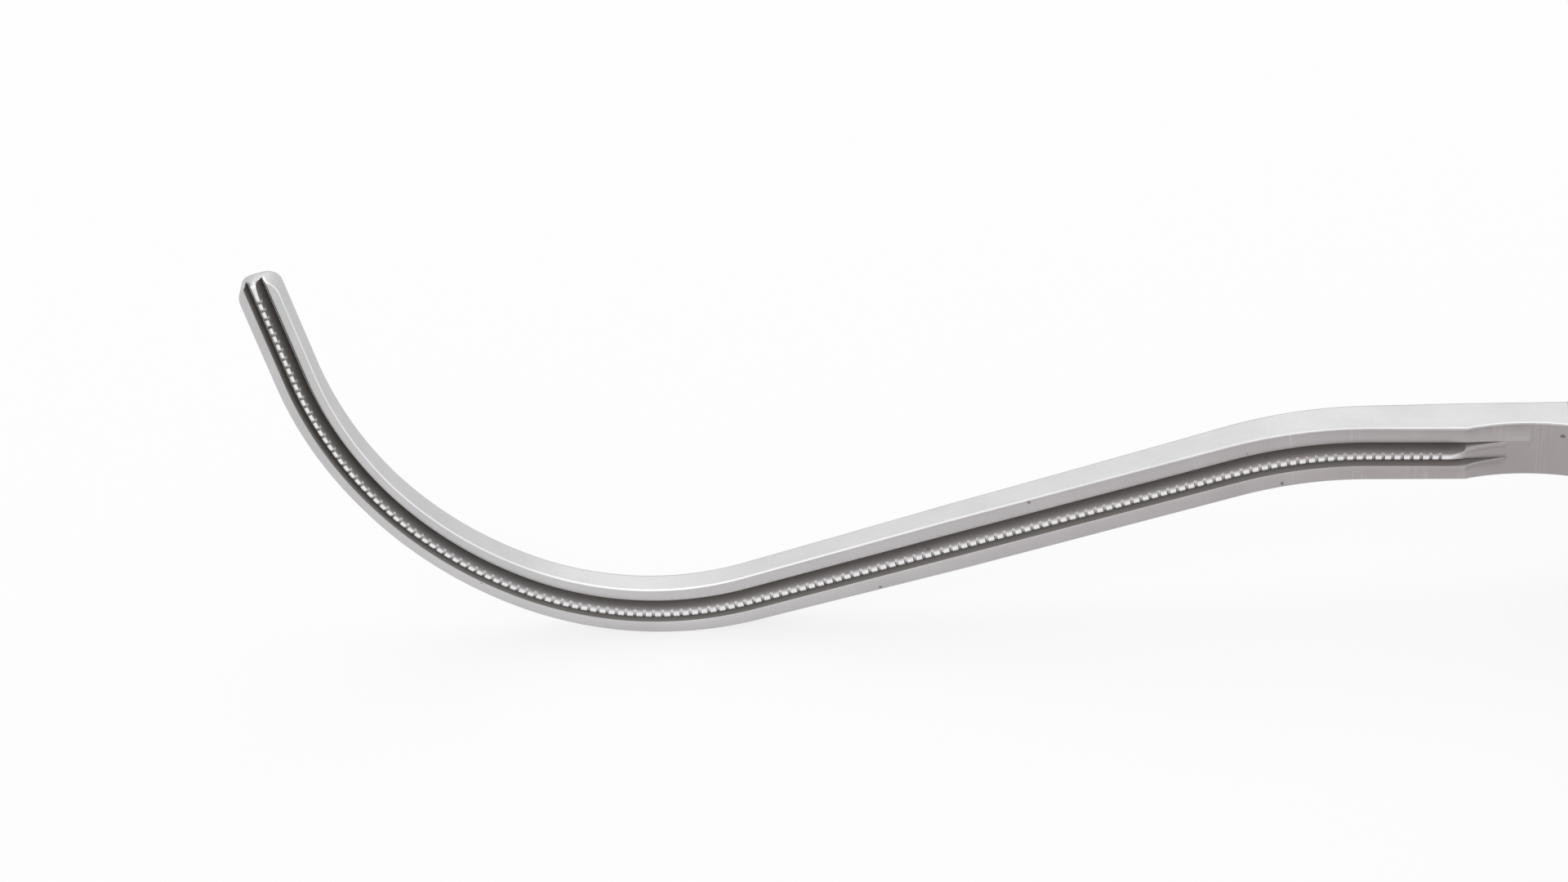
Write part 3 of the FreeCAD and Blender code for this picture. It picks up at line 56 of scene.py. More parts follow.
class JawSizes(bpy.types.PropertyGroup):
    """Sizes of both jaws, in metres and radians, measured from the heel."""

    heel_straight: bpy.props.FloatProperty(
        name="Heel straight", description="Straight in front of the heel", default=7.4 * MM, unit="LENGTH"
    )
    neck_bend_radius: bpy.props.FloatProperty(
        name="Neck bend", description="Radius of the downward bend", default=34.8 * MM, unit="LENGTH"
    )
    neck_bend_turn: bpy.props.FloatProperty(
        name="Neck turn", description="Angle of the downward bend",
        default=math.radians(17.2), subtype="ANGLE"
    )
    long_straight: bpy.props.FloatProperty(
        name="Long straight", description="Straight in front of the downward bend",
        default=38.5 * MM, unit="LENGTH"
    )
    belly_bend_radius: bpy.props.FloatProperty(
        name="Belly bend", description="Radius of the bend through the belly",
        default=25.2 * MM, unit="LENGTH"
    )
    belly_bend_turn: bpy.props.FloatProperty(
        name="Belly turn", description="Angle of the bend through the belly", default=math.radians(40.1),
        subtype="ANGLE",
    )
    upper_bend_radius: bpy.props.FloatProperty(
        name="Upper bend", description="Radius of the bend that turns the tip up",
        default=30.3 * MM, unit="LENGTH"
    )
    upper_bend_turn: bpy.props.FloatProperty(
        name="Upper turn", description="Angle of the bend that turns the tip up", default=math.radians(48.9),
        subtype="ANGLE",
    )
    tip_straight: bpy.props.FloatProperty(
        name="Tip straight", description="Straight that ends at the tip", default=8.9 * MM, unit="LENGTH"
    )
    root_half_width: bpy.props.FloatProperty(
        name="Root half width", description="Half width of the face at the root",
        default=2.25 * MM, unit="LENGTH"
    )
    tip_half_width: bpy.props.FloatProperty(
        name="Tip half width", description="Half width of the face at the tip",
        default=1.58 * MM, unit="LENGTH"
    )
    taper_start: bpy.props.FloatProperty(
        name="Taper start", description="Where the face starts to narrow", default=40.0 * MM, unit="LENGTH"
    )
    taper_end: bpy.props.FloatProperty(
        name="Taper end", description="Where the face stops narrowing", default=88.0 * MM, unit="LENGTH"
    )
    heel_thickness: bpy.props.FloatProperty(
        name="Heel thickness", description="Thickness at the heel", default=4.2 * MM, unit="LENGTH"
    )
    middle_thickness: bpy.props.FloatProperty(
        name="Middle thickness", description="Thickness at the middle", default=2.5 * MM, unit="LENGTH"
    )
    middle_reach: bpy.props.FloatProperty(
        name="Middle reach", description="Distance from the heel to the middle",
        default=55.0 * MM, unit="LENGTH"
    )
    tip_thickness: bpy.props.FloatProperty(
        name="Tip thickness", description="Thickness at the tip", default=2.7 * MM, unit="LENGTH"
    )
    tip_end: bpy.props.FloatProperty(
        name="Tip end", description="Thickness left where the rounded tip ends",
        default=0.9 * MM, unit="LENGTH"
    )
    back_rounding: bpy.props.FloatProperty(
        name="Back rounding", description="Radius along the back edges", default=0.4 * MM, unit="LENGTH"
    )
    face_rounding: bpy.props.FloatProperty(
        name="Face rounding", description="Radius along the edges of the face",
        default=0.12 * MM, unit="LENGTH"
    )
    heel_rounding: bpy.props.FloatProperty(
        name="Heel rounding", description="Radius along the edges of the face at the heel", default=0.2 * MM,
        unit="LENGTH",
    )
    heel_easing: bpy.props.FloatProperty(
        name="Heel easing", description="How far from the heel the edges are eased", default=9.0 * MM,
        unit="LENGTH",
    )
    # Painted highlight: the face's upper edge is painted bright, growing from shine_start to shine_full
    # towards the tip.
    shine_start: bpy.props.FloatProperty(
        name="Shine start", description="Where the face's upper edge starts to be worn bright",
        default=25.0 * MM,
        unit="LENGTH",
    )
    shine_full: bpy.props.FloatProperty(
        name="Shine full", description="Where that edge is fully bright", default=80.0 * MM, unit="LENGTH"
    )
    rail_width: bpy.props.FloatProperty(
        name="Rail width", description="Width of each rail at the root", default=1.21 * MM, unit="LENGTH"
    )
    tip_rail_width: bpy.props.FloatProperty(
        name="Tip rail width", description="Width of each rail at the tip", default=0.69 * MM, unit="LENGTH"
    )
    groove_width: bpy.props.FloatProperty(
        name="Groove width", description="Width of each groove", default=0.7 * MM, unit="LENGTH"
    )
    groove_depth: bpy.props.FloatProperty(
        name="Groove depth", description="Depth of each groove", default=0.78 * MM, unit="LENGTH"
    )
    ridge_height: bpy.props.FloatProperty(
        name="Ridge height", description="Height of the toothed ridge above the face", default=0.55 * MM,
        unit="LENGTH",
    )
    ridge_top_half_width: bpy.props.FloatProperty(
        name="Ridge top", description="Half width of the ridge at its top", default=0.14 * MM, unit="LENGTH"
    )
    tooth_pitch: bpy.props.FloatProperty(
        name="Tooth pitch", description="Distance from tooth to tooth", default=0.72 * MM, unit="LENGTH"
    )
    tooth_gap: bpy.props.FloatProperty(
        name="Tooth gap", description="Gap between two teeth", default=0.18 * MM, unit="LENGTH"
    )
    tooth_depth: bpy.props.FloatProperty(
        name="Tooth depth", description="Depth of the gap between teeth", default=0.25 * MM, unit="LENGTH"
    )
    teeth_setback: bpy.props.FloatProperty(
        name="Teeth setback", description="Plain ridge behind the first tooth",
        default=1.36 * MM, unit="LENGTH"
    )
    tip_land: bpy.props.FloatProperty(
        name="Tip land", description="Plain ridge between the last tooth and the tip", default=1.3 * MM,
        unit="LENGTH",
    )
    ridge_run_out: bpy.props.FloatProperty(
        name="Ridge run-out", description="How far from the tip the ridge starts to sink", default=1.6 * MM,
        unit="LENGTH",
    )
    relief_length: bpy.props.FloatProperty(
        name="Relief length", description="Length of the hollow behind the heel",
        default=9.6 * MM, unit="LENGTH"
    )
    relief_depth: bpy.props.FloatProperty(
        name="Relief depth", description="Depth of the hollow behind the heel",
        default=0.87 * MM, unit="LENGTH"
    )
    root_cut: bpy.props.FloatProperty(
        name="Root cut", description="Where the ground blade meets the joint block",
        default=8.0 * MM, unit="LENGTH"
    )
    jaw_gap: bpy.props.FloatProperty(
        name="Jaw gap", description="Gap between the faces when shut", default=0.15 * MM, unit="LENGTH"
    )
    rib_height: bpy.props.FloatProperty(
        name="Rib height", description="Height of the moving jaw's toothed ribs",
        default=0.55 * MM, unit="LENGTH"
    )
    rib_root_half_width: bpy.props.FloatProperty(
        name="Rib root", description="Half width of a rib at the face", default=0.22 * MM, unit="LENGTH"
    )
    rib_top_half_width: bpy.props.FloatProperty(
        name="Rib top", description="Half width of a rib at its top", default=0.08 * MM, unit="LENGTH"
    )
    channel_half_width: bpy.props.FloatProperty(
        name="Channel", description="Half width of the moving jaw's channel", default=0.40 * MM, unit="LENGTH"
    )
    channel_floor_half_width: bpy.props.FloatProperty(
        name="Channel floor", description="Half width of the channel's floor",
        default=0.20 * MM, unit="LENGTH"
    )
    channel_depth: bpy.props.FloatProperty(
        name="Channel depth", description="Depth of the moving jaw's channel",
        default=0.65 * MM, unit="LENGTH"
    )


class SteelLook(bpy.types.PropertyGroup):
    """Colours and finish of the steel, with the colours used for painted shade and painted highlights."""

    side: bpy.props.FloatVectorProperty(
        name="Jaw sides", description="Colour of the jaws' smooth sides and backs",
        default=(0.61, 0.61, 0.61),
        subtype="COLOR",
    )
    face_tip: bpy.props.FloatVectorProperty(
        name="Face at the tip", description="Colour of the ground face towards the tip",
        default=(0.57, 0.56, 0.565),
        subtype="COLOR",
    )
    # Painted shade: the ground face is coloured darker at the heel than at the tip, standing in for how the
    # light falls along the jaw.
    shaded_face_heel: bpy.props.FloatVectorProperty(
        name="Face at the heel", description="Colour of the ground face at the heel",
        default=(0.38, 0.345, 0.35),
        subtype="COLOR",
    )
    # Painted shade: colour mixed in where grooves, notches and the channel are deep, darkening the recesses.
    groove: bpy.props.FloatVectorProperty(
        name="Groove", description="Colour deep in the grooves", default=(0.42, 0.405, 0.395), subtype="COLOR"
    )
    grazing: bpy.props.FloatVectorProperty(
        name="Grazing tint", description="Tint of what the steel mirrors at a grazing angle",
        default=(0.80, 0.80, 0.80), subtype="COLOR",
    )
    # Painted highlight: colour of the bright line along the upper edge and on the tooth crests, where the
    # steel is also made smoother.
    edge: bpy.props.FloatVectorProperty(
        name="Bright edge", description="Colour of worn, polished edges",
        default=(0.95, 0.95, 0.95), subtype="COLOR"
    )
    satin: bpy.props.FloatVectorProperty(
        name="Satin steel", description="Colour of the handles", default=(0.44, 0.44, 0.435), subtype="COLOR"
    )
    pin: bpy.props.FloatVectorProperty(
        name="Pin steel", description="Colour of pins and screws", default=(0.54, 0.54, 0.54), subtype="COLOR"
    )
    roughness: bpy.props.FloatProperty(
        name="Roughness", description="Roughness of the ground steel", default=0.34, min=0.05, max=1.0
    )
    edge_break: bpy.props.FloatProperty(
        name="Edge break", description="Width of the broken edges on shaft and handles", default=0.22 * MM,
        unit="LENGTH",
    )


class StageLook(bpy.types.PropertyGroup):
    """Floor, lamps and camera."""

    floor: bpy.props.FloatVectorProperty(
        name="Floor", description="Colour of the floor", default=(0.93, 0.93, 0.93), subtype="COLOR"
    )
    target: bpy.props.FloatVectorProperty(
        name="Target", description="Point at the middle of the picture",
        default=(-51.9 * MM, 0.0, 1.175 * MM),
        subtype="TRANSLATION",
    )
    distance: bpy.props.FloatProperty(
        name="Distance", description="Camera to target", default=0.36, unit="LENGTH"
    )
    elevation: bpy.props.FloatProperty(
        name="Elevation", description="Camera above the clamping face",
        default=math.radians(30), subtype="ANGLE"
    )
    lens: bpy.props.FloatProperty(name="Lens", description="Focal length in millimetres", default=108.9)


def settings():
    """Settings of the clamp, kept on the scene."""
    return bpy.context.scene


# Centre line of the jaws


def path_segments():
    """Length and turn, positive upwards, of each line and arc from the heel to the tip."""
    jaw = settings().clamp_jaw
    return [
        (jaw.heel_straight, 0.0),
        (jaw.neck_bend_radius * jaw.neck_bend_turn, -jaw.neck_bend_turn),
        (jaw.long_straight, 0.0),
        (jaw.belly_bend_radius * jaw.belly_bend_turn, jaw.belly_bend_turn),
        (jaw.upper_bend_radius * jaw.upper_bend_turn, jaw.upper_bend_turn),
        (jaw.tip_straight, 0.0),
    ]


def path_length():
    """Length of the centre line from the heel to the tip."""
    return sum(length for length, turn in path_segments())


def path_place(distance):
    """Place of the centre line at a distance from the heel: X to the upper side, Y into the blade."""
    x, z, heading = 0.0, 0.0, 0.0
    segments = path_segments()
    for number, (length, turn) in enumerate(segments):
        last = number == len(segments) - 1
        step = distance if last else min(distance, length)
        if turn:
            radius = length / turn
            new_heading = heading + step / radius
            x -= radius * (math.sin(new_heading) - math.sin(heading))
            z -= radius * (math.cos(new_heading) - math.cos(heading))
            heading = new_heading
        else:
            x -= step * math.cos(heading)
            z += step * math.sin(heading)
        distance -= step
        if distance <= 0 and not last:
            break
    across = Vector((math.sin(heading), 0.0, math.cos(heading)))
    into = Vector((0.0, 1.0, 0.0))
    along = across.cross(into)
    place = Matrix((across, into, along)).transposed().to_4x4()
    place.translation = (x, 0.0, z)
    return place


def taper(distance, root, tip):
    """Value that changes evenly between the start and the end of the taper."""
    jaw = settings().clamp_jaw
    share = (distance - jaw.taper_start) / (jaw.taper_end - jaw.taper_start)
    return root + min(max(share, 0.0), 1.0) * (tip - root)


def blade_thickness(x):
    """Thickness of the blade at a place along the shaft's axis, on a curve through heel, middle and tip."""
    jaw = settings().clamp_jaw
    tip_reach = jaw.tip_half_width - path_place(path_length()).translation.x
    first_slope = (jaw.middle_thickness - jaw.heel_thickness) / jaw.middle_reach
    second_slope = (jaw.tip_thickness - jaw.middle_thickness) / (tip_reach - jaw.middle_reach)
    even = jaw.heel_thickness - first_slope * x
    if x > 0:
        return even
    return even - (second_slope - first_slope) / tip_reach * x * (-x - jaw.middle_reach)


def relief_level(distance):
    """Depth of the relief's round hollow at a distance from the heel; far above the face elsewhere."""
    jaw = settings().clamp_jaw
    half = jaw.relief_length / 2
    roller = (half * half / jaw.relief_depth + jaw.relief_depth) / 2
    along = -distance - half
    if abs(along) > half + jaw.teeth_setback:
        return -1.0
    return jaw.relief_depth - roller + math.sqrt(roller * roller - along * along)


# Shares of painted highlight (shine) and of painted shade in grooves, notches and channel, from none at 0 to
# full at 1

# LOW_EDGE_SHINE keeps the painted highlight off the lower edge; TOOTH_SHINE and RAIL_CORNER_SHINE paint
# highlights on tooth crests and rail corners.
LOW_EDGE_SHINE = 0.0
REAR_GROUND = 0.6
TOOTH_SHINE = 0.9
RAIL_CORNER_SHINE = 0.15
# Painted shade in the tooth notches, on the ridge's flank and foot, in the rib notches, beside the ribs and
# in the channel mouth.
NOTCH_SHADE = 0.18
FLANK_SHADE = 0.1
RIDGE_FOOT_SHADE = 0.45
RIB_NOTCH_SHADE = 0.35
RIB_INNER_SHADE = 0.2
RIB_OUTER_SHADE = 0.3
CHANNEL_MOUTH_SHADE = 0.8

# Lines of a section's roundings, and the narrow strip that keeps the flats beside them flat

RIM_STEPS = 3
BACK_STEPS = 5
EASE = 0.05 * MM

# Narrow steps at the foot of grooves and ribs and at the walls of the tooth gaps

GROOVE_FLOOR = 0.02 * MM
GROOVE_LIP = 0.03 * MM
RIB_FOOT = 0.05 * MM
GAP_WALL = 0.04 * MM

# Stations behind the first tooth and in the rounded tip, and the tip's angle at its last one in degrees

ROOT_STATIONS = 34
TIP_STATIONS = 18
TIP_END_TURN = 86

# Distances under which points are one, and the angle in degrees over which an edge is sharp

BLADE_MERGE = 0.002 * MM
CAD_MERGE = 0.0005 * MM
CUT_TOLERANCE = 0.0001 * MM
SHARP_ANGLE = 34
BEVEL_ANGLE = 32
BEVEL_SEGMENTS = 2


class BladeSection:
    """Outline of a blade's cut across one station, from the middle of its face to that of its back."""

    def __init__(self, distance, notched):
        jaw = settings().clamp_jaw
        self.jaw = jaw
        self.level = relief_level(distance)
        self.half = taper(distance, jaw.root_half_width, jaw.tip_half_width)
        root_outer = jaw.root_half_width - jaw.rail_width
        scale = taper(distance, 1.0, (jaw.tip_half_width - jaw.tip_rail_width) / root_outer)
        self.groove_outer = root_outer * scale
        self.groove_inner = self.groove_outer - jaw.groove_width * scale
        cap = path_length() - jaw.tip_half_width
        self.reach = self.half
        self.thickness = blade_thickness(path_place(distance).translation.x)
        if distance > cap:
            over = min(distance - cap, jaw.tip_half_width)
            round_share = math.sqrt(max(1.0 - (over / jaw.tip_half_width) ** 2, 0.0))
            self.reach = jaw.tip_half_width * round_share
            self.thickness = jaw.tip_end + (self.thickness - jaw.tip_end) * round_share
        self.notched = notched
        self.plain = distance < -jaw.relief_length / 2
        self.last_shade = 0.0
        heel_share = min(max((jaw.heel_easing - abs(distance)) / jaw.heel_easing, 0.0), 1.0)
        self.rim = jaw.face_rounding + heel_share * (jaw.heel_rounding - jaw.face_rounding)
        # Share of painted highlight on the face's upper edge, growing towards the tip.
        tip_share = min(max((distance - jaw.shine_start) / (jaw.shine_full - jaw.shine_start), 0.0), 1.0)
        self.shine = tip_share
        fade = max(distance - (path_length() - jaw.ridge_run_out), 0.0) / jaw.ridge_run_out
        self.fade = math.sqrt(max(1.0 - fade * fade, 0.0))

    def face(self):
        """Level of the rails: the clamping face, or the relief where that is deeper."""
        return max(0.0, self.level)

    def back_points(self):
        """Points of the outer edge, the side and the rounded back: across, deep, painted shade, painted
        highlight, ground.
        """
        jaw = self.jaw
        rim = min(self.rim, self.reach)
        back = min(jaw.back_rounding, self.reach)
        reach = self.reach
        level = max(self.face(), self.face_height(reach - rim))
        thick = self.thickness
        points = []
        for step in range(RIM_STEPS + 1):
            turn = math.pi / 2 * step / RIM_STEPS
            place = (reach - rim + rim * math.sin(turn), level + rim - rim * math.cos(turn))
            # Painted highlight along the rounding of the face's upper edge, strongest halfway round.
            bright = self.shine * math.sin(2 * turn)
            points.append((*place, 0.0, bright, 1.0 - step / RIM_STEPS))
        points.append((reach, level + rim + EASE, 0.0, 0.0, 0.0))
        points.append((reach, thick - back - EASE, 0.0, 0.0, 0.0))
        for step in range(BACK_STEPS + 1):
            turn = math.pi / 2 * step / BACK_STEPS
            place = (reach - back + back * math.cos(turn), thick - back + back * math.sin(turn))
            points.append((*place, 0.0, 0.0, 0.0))
        points.append((max(reach - back - EASE, 0.0), thick, 0.0, 0.0, 0.0))
        points.append((0.0, thick, 0.0, 0.0, 0.0))
        return points

    def face_height(self, across):
        """Level of the plain section's face at a distance from the middle."""
        points = self.face_points()
        for near, far in zip(points, points[1:]):
            first, low = near[:2]
            second, high = far[:2]
            if first <= across <= second and first < second:
                return low + (high - low) * (across - first) / (second - first)
        return self.face()

    def points(self):
        """All points, with the face clipped where the rounded tip cuts it off."""
        outer = self.back_points()
        limit, level = outer[0][0], outer[0][1]
        inner = []
        for across, height, shade, shine in self.face_points():
            if self.plain:
                inner.append((across, self.face(), 0.0, 0.0, 1.0))
            elif across > limit:
                inner.append((limit, level, self.last_shade, 0.0, 1.0))
            else:
                inner.append((across, height, shade, shine, 1.0))
                self.last_shade = shade
        return inner + outer


class RidgeSection(BladeSection):
    """Fixed blade: a raised toothed ridge between two grooves."""

    def flank(self, height):
        """Half width of the ridge at a level, following its flank and then the groove's inner wall."""
        jaw = self.jaw
        bottom = (self.groove_inner + self.groove_outer) / 2
        if height < 0:
            share = -height / jaw.ridge_height
            return self.groove_inner + (jaw.ridge_top_half_width - self.groove_inner) * share
        share = min(height / jaw.groove_depth, 1.0)
        return self.groove_inner + (bottom - self.groove_inner) * share

    def face_points(self):
        """Points from the middle of the ridge to the rail, as across, height, painted groove shade and
        painted edge highlight.
        """
        jaw = self.jaw
        face = self.face()
        top = -jaw.ridge_height * self.fade
        if self.notched:
            top += jaw.tooth_depth
        top = max(top, self.level)
        base = max(0.0, self.level)
        floor = max(jaw.groove_depth, self.level)
        bottom = (self.groove_inner + self.groove_outer) / 2
        deep = min(max((jaw.groove_depth - base) / jaw.groove_depth, 0.0), 1.0)
        wall = min(jaw.groove_depth, base + GROOVE_LIP)
        outer = self.groove_outer - (self.groove_outer - bottom) * min(wall / jaw.groove_depth, 1.0)
        proud = min(max((base - top) / jaw.ridge_height, 0.0), 1.0)
        # Painted shade in the tooth notches, and painted highlight on the plain ridge crest, more where the
        # ridge stands proud.
        crown = NOTCH_SHADE if self.notched else 0.0
        painted_shine = 0.0 if self.notched else TOOTH_SHINE * proud
        return [
            (0.0, top, crown, painted_shine),
            (self.flank(top), top, crown, painted_shine),
            (self.flank((top + base) / 2), (top + base) / 2, FLANK_SHADE * deep, 0.0),
            (self.flank(base), base, RIDGE_FOOT_SHADE * deep, 0.0),
            (bottom - GROOVE_FLOOR * deep, floor, deep, 0.0),
            (bottom + GROOVE_FLOOR * deep, floor, deep, 0.0),
            (outer, max(wall, base), deep, 0.0),
            (outer + GROOVE_LIP, face, 0.0, RAIL_CORNER_SHINE),
        ]


class RibSection(BladeSection):
    """Moving blade: a channel between two raised toothed ribs."""

    def face_points(self):
        """Points from the middle of the channel to the rail: across, height, painted shade, painted
        highlight.
        """
        jaw = self.jaw
        face = self.face()
        middle = (self.groove_inner + self.groove_outer) / 2
        share = min(face / jaw.channel_depth, 1.0)
        narrowing = jaw.channel_floor_half_width - jaw.channel_half_width
        mouth = jaw.channel_half_width + narrowing * share
        floor = max(jaw.channel_depth, face)
        deep = min(max((jaw.channel_depth - face) / jaw.channel_depth, 0.0), 1.0)
        height = jaw.rib_height * self.fade
        if self.level > -jaw.rib_height:
            height = 0.0
        if self.notched:
            height -= jaw.tooth_depth
        top = max(-height, face) if height <= 0 else -height
        root = jaw.rib_root_half_width
        crown = jaw.rib_top_half_width
        if self.notched:
            crown = root - (root - crown) * max(height, 0.0) / jaw.rib_height
        # Painted shade in the rib notches, and painted highlight on the plain rib crests.
        shade = RIB_NOTCH_SHADE if self.notched else 0.0
        painted_shine = 0.0 if self.notched else TOOTH_SHINE
        return [
            (0.0, floor, deep, 0.0),
            (jaw.channel_floor_half_width, floor, deep, 0.0),
            (mouth, face + GROOVE_FLOOR * deep, CHANNEL_MOUTH_SHADE * deep, 0.0),
            (max(middle - root, mouth), face, RIB_INNER_SHADE, 0.0),
            (middle - crown, top, shade, painted_shine),
            (middle + crown, top, shade, painted_shine),
            (middle + root, face, RIB_OUTER_SHADE, 0.0),
            (middle + root + RIB_FOOT, face, 0.0, 0.0),
        ]


def blade_stations():
    """Stations along a blade as (distance, notched), four for each gap between teeth."""
    jaw = settings().clamp_jaw
    stations = []
    for number in range(ROOT_STATIONS + 1):
        stations.append((-jaw.root_cut + number * (jaw.root_cut + jaw.teeth_setback) / ROOT_STATIONS, False))
    stations.append((0.0, False))
    end = path_length()
    gap = jaw.teeth_setback + jaw.tooth_pitch
    while gap < end - jaw.tip_land:
        start, stop = gap - jaw.tooth_gap / 2, gap + jaw.tooth_gap / 2
        stations += [(start - GAP_WALL, False), (start, True), (stop, True), (stop + GAP_WALL, False)]
        gap += jaw.tooth_pitch
    cap = end - jaw.tip_half_width
    for number in range(TIP_STATIONS + 1):
        round_off = math.sin(math.radians(TIP_END_TURN * number / TIP_STATIONS))
        place = cap + jaw.tip_half_width * round_off
        if place > stations[-1][0] + GAP_WALL:
            stations.append((place, False))
    return sorted(stations)


def look_layers(mesh):
    """Layers for a point's place on the blade (along, across, deep) and its look (painted shade, painted
    highlight, ground).
    """
    return [mesh.verts.layers.float_vector.new(name) for name in ("blade_place", "blade_look")]


def blade_mesh(section_kind):
    """A blade drawn out from its root section, station by station, with its patterns stored per vertex."""
    mesh = bmesh.new()
    place_layer, look_layer = look_layers(mesh)
    ring = None
    edges = None
    for distance, notched in blade_stations():
        upper = section_kind(distance, notched).points()
        # The mirrored lower edge gets LOW_EDGE_SHINE of the painted highlight, so only the upper edge is
        # painted bright.
        outline = upper + [(-point[0], point[1], point[2], LOW_EDGE_SHINE * point[3], point[4])
                           for point in upper[-2:0:-1]]
        if ring is None:
            ring = [mesh.verts.new() for point in outline]
            root = mesh.faces.new(ring)
            edges = list(root.edges)
            ordered = {vert: index for index, vert in enumerate(ring)}
        else:
            drawn = bmesh.ops.extrude_edge_only(mesh, edges=edges)["geom"]
            edges = [item for item in drawn if isinstance(item, bmesh.types.BMEdge) and all(
                vert not in ordered for vert in item.verts)]
            fresh = {}
            for vert in (item for item in drawn if isinstance(item, bmesh.types.BMVert)):
                neighbours = (edge.other_vert(vert) for edge in vert.link_edges)
                previous = next(other for other in neighbours if other in ordered)
                fresh[vert] = ordered[previous]
            ordered = fresh
        place = path_place(distance)
        for vert, index in ordered.items():
            across, height, *look = outline[index]
            vert.co = place @ Vector((across, height, 0.0))
            vert[place_layer] = (distance, across, height)
            vert[look_layer] = look
    bmesh.ops.contextual_create(mesh, geom=edges)
    bmesh.ops.remove_doubles(mesh, verts=mesh.verts, dist=BLADE_MERGE)
    return mesh


def cad_rear(node, placed, cut):
    """Merged copy of a CAD node, shut, cut off in front of a plane across the shaft."""
    mesh = bmesh.new()
    mesh.from_mesh(frame["nodes"][node].data)
    place_layer, look_layer = look_layers(mesh)
    bmesh.ops.remove_doubles(mesh, verts=mesh.verts, dist=CAD_MERGE)
    bmesh.ops.transform(mesh, matrix=placed.inverted(), verts=mesh.verts)
    everything = list(mesh.verts) + list(mesh.edges) + list(mesh.faces)
    cut_edges = bmesh.ops.bisect_plane(
        mesh, geom=everything, plane_co=(cut, 0, 0), plane_no=(1, 0, 0), clear_inner=True, dist=CUT_TOLERANCE
    )["geom_cut"]
    rim = [item for item in cut_edges if isinstance(item, bmesh.types.BMEdge)]
    bmesh.ops.contextual_create(mesh, geom=rim)
    for vert in mesh.verts:
        vert[place_layer] = (-vert.co.x, vert.co.z, abs(vert.co.y))
        vert[look_layer] = (0.0, 0.0, REAR_GROUND)
    return mesh


def joined(first, second):
    """Second mesh added to the first."""
    carrier = bpy.data.meshes.new("carrier")
    second.to_mesh(carrier)
    first.from_mesh(carrier)
    bpy.data.meshes.remove(carrier)
    second.free()
    return first


def finished(name, mesh, material, body, node):
    """Object made from a mesh, smooth except at sharp edges, riding on its body in place of its CAD node."""
    bmesh.ops.recalc_face_normals(mesh, faces=mesh.faces)
    data = bpy.data.meshes.new(name)
    mesh.to_mesh(data)
    mesh.free()
    data.shade_smooth()
    data.set_sharp_from_angle(angle=math.radians(SHARP_ANGLE))
    data.materials.append(material)
    piece = bpy.data.objects.new(name, data)
    bpy.context.scene.collection.objects.link(piece)
    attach(piece, body)
    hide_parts(node)
    return piece


def jaw_open_matrix():
    """Turn that carries the shut moving jaw to its open place at rest."""
    joint = JOINTS["jaw_hinge"]
    pivot = Vector(joint["pos_m"])
    opening = math.radians(-joint["range_deg"][0])
    return Matrix.Translation(pivot) @ Matrix.Rotation(opening, 4, "Z") @ Matrix.Translation(-pivot)


# Steel finishes


class Nodes:
    """Short way to lay out a material's nodes."""

    def __init__(self, name):
        self.material = bpy.data.materials.new(name)
        self.material.use_nodes = True
        self.tree = self.material.node_tree
        self.shader = self.tree.nodes["Principled BSDF"]

    def add(self, kind, inputs=None, **settings_of_node):
        """New node with some settings and input values."""
        node = self.tree.nodes.new(kind)
        for key, value in settings_of_node.items():
            setattr(node, key, value)
        for key, value in (inputs or {}).items():
            self.put(node.inputs[key], value)
        return node

    def put(self, socket, value):
        """Links an output, or sets a plain value."""
        if isinstance(value, bpy.types.NodeSocket):
            self.tree.links.new(value, socket)
        else:
            socket.default_value = value

    def attribute(self, name):
        """Attribute of the piece's own mesh."""
        return self.add("ShaderNodeAttribute", attribute_name=name)

    def math(self, operation, first, second=0.5):
        """One arithmetic step."""
        return self.add("ShaderNodeMath", {0: first, 1: second}, operation=operation).outputs[0]

    def remap(self, value, low, high, new_low, new_high):
        """Value carried from one range to another and held there."""
        inputs = {"Value": value, "From Min": low, "From Max": high, "To Min": new_low, "To Max": new_high}
        return self.add("ShaderNodeMapRange", inputs).outputs[0]

    def noise(self, vector, scale, detail=4.0, roughness=0.55):
        """Noise over a vector."""
        inputs = {"Vector": vector, "Scale": scale, "Detail": detail, "Roughness": roughness}
        return self.add("ShaderNodeTexNoise", inputs).outputs["Fac"]

    def stretched(self, vector, scale):
        """Vector scaled per axis, so that a pattern runs in streaks."""
        return self.add("ShaderNodeMapping", {"Vector": vector, "Scale": scale}).outputs[0]

    def mixed(self, factor, first, second, blend_type="MIX"):
        """Two colours mixed."""
        node = self.add("ShaderNodeMix", data_type="RGBA", blend_type=blend_type)
        self.put(node.inputs[0], factor)
        self.put(node.inputs[6], first)
        self.put(node.inputs[7], second)
        return node.outputs[2]

    def bump(self, height, strength, distance):
        """Bump from a height."""
        inputs = {"Height": height, "Strength": strength, "Distance": distance}
        return self.add("ShaderNodeBump", inputs).outputs[0]


def rgba(colour):
    """Colour with full opacity."""
    return (*colour, 1.0)


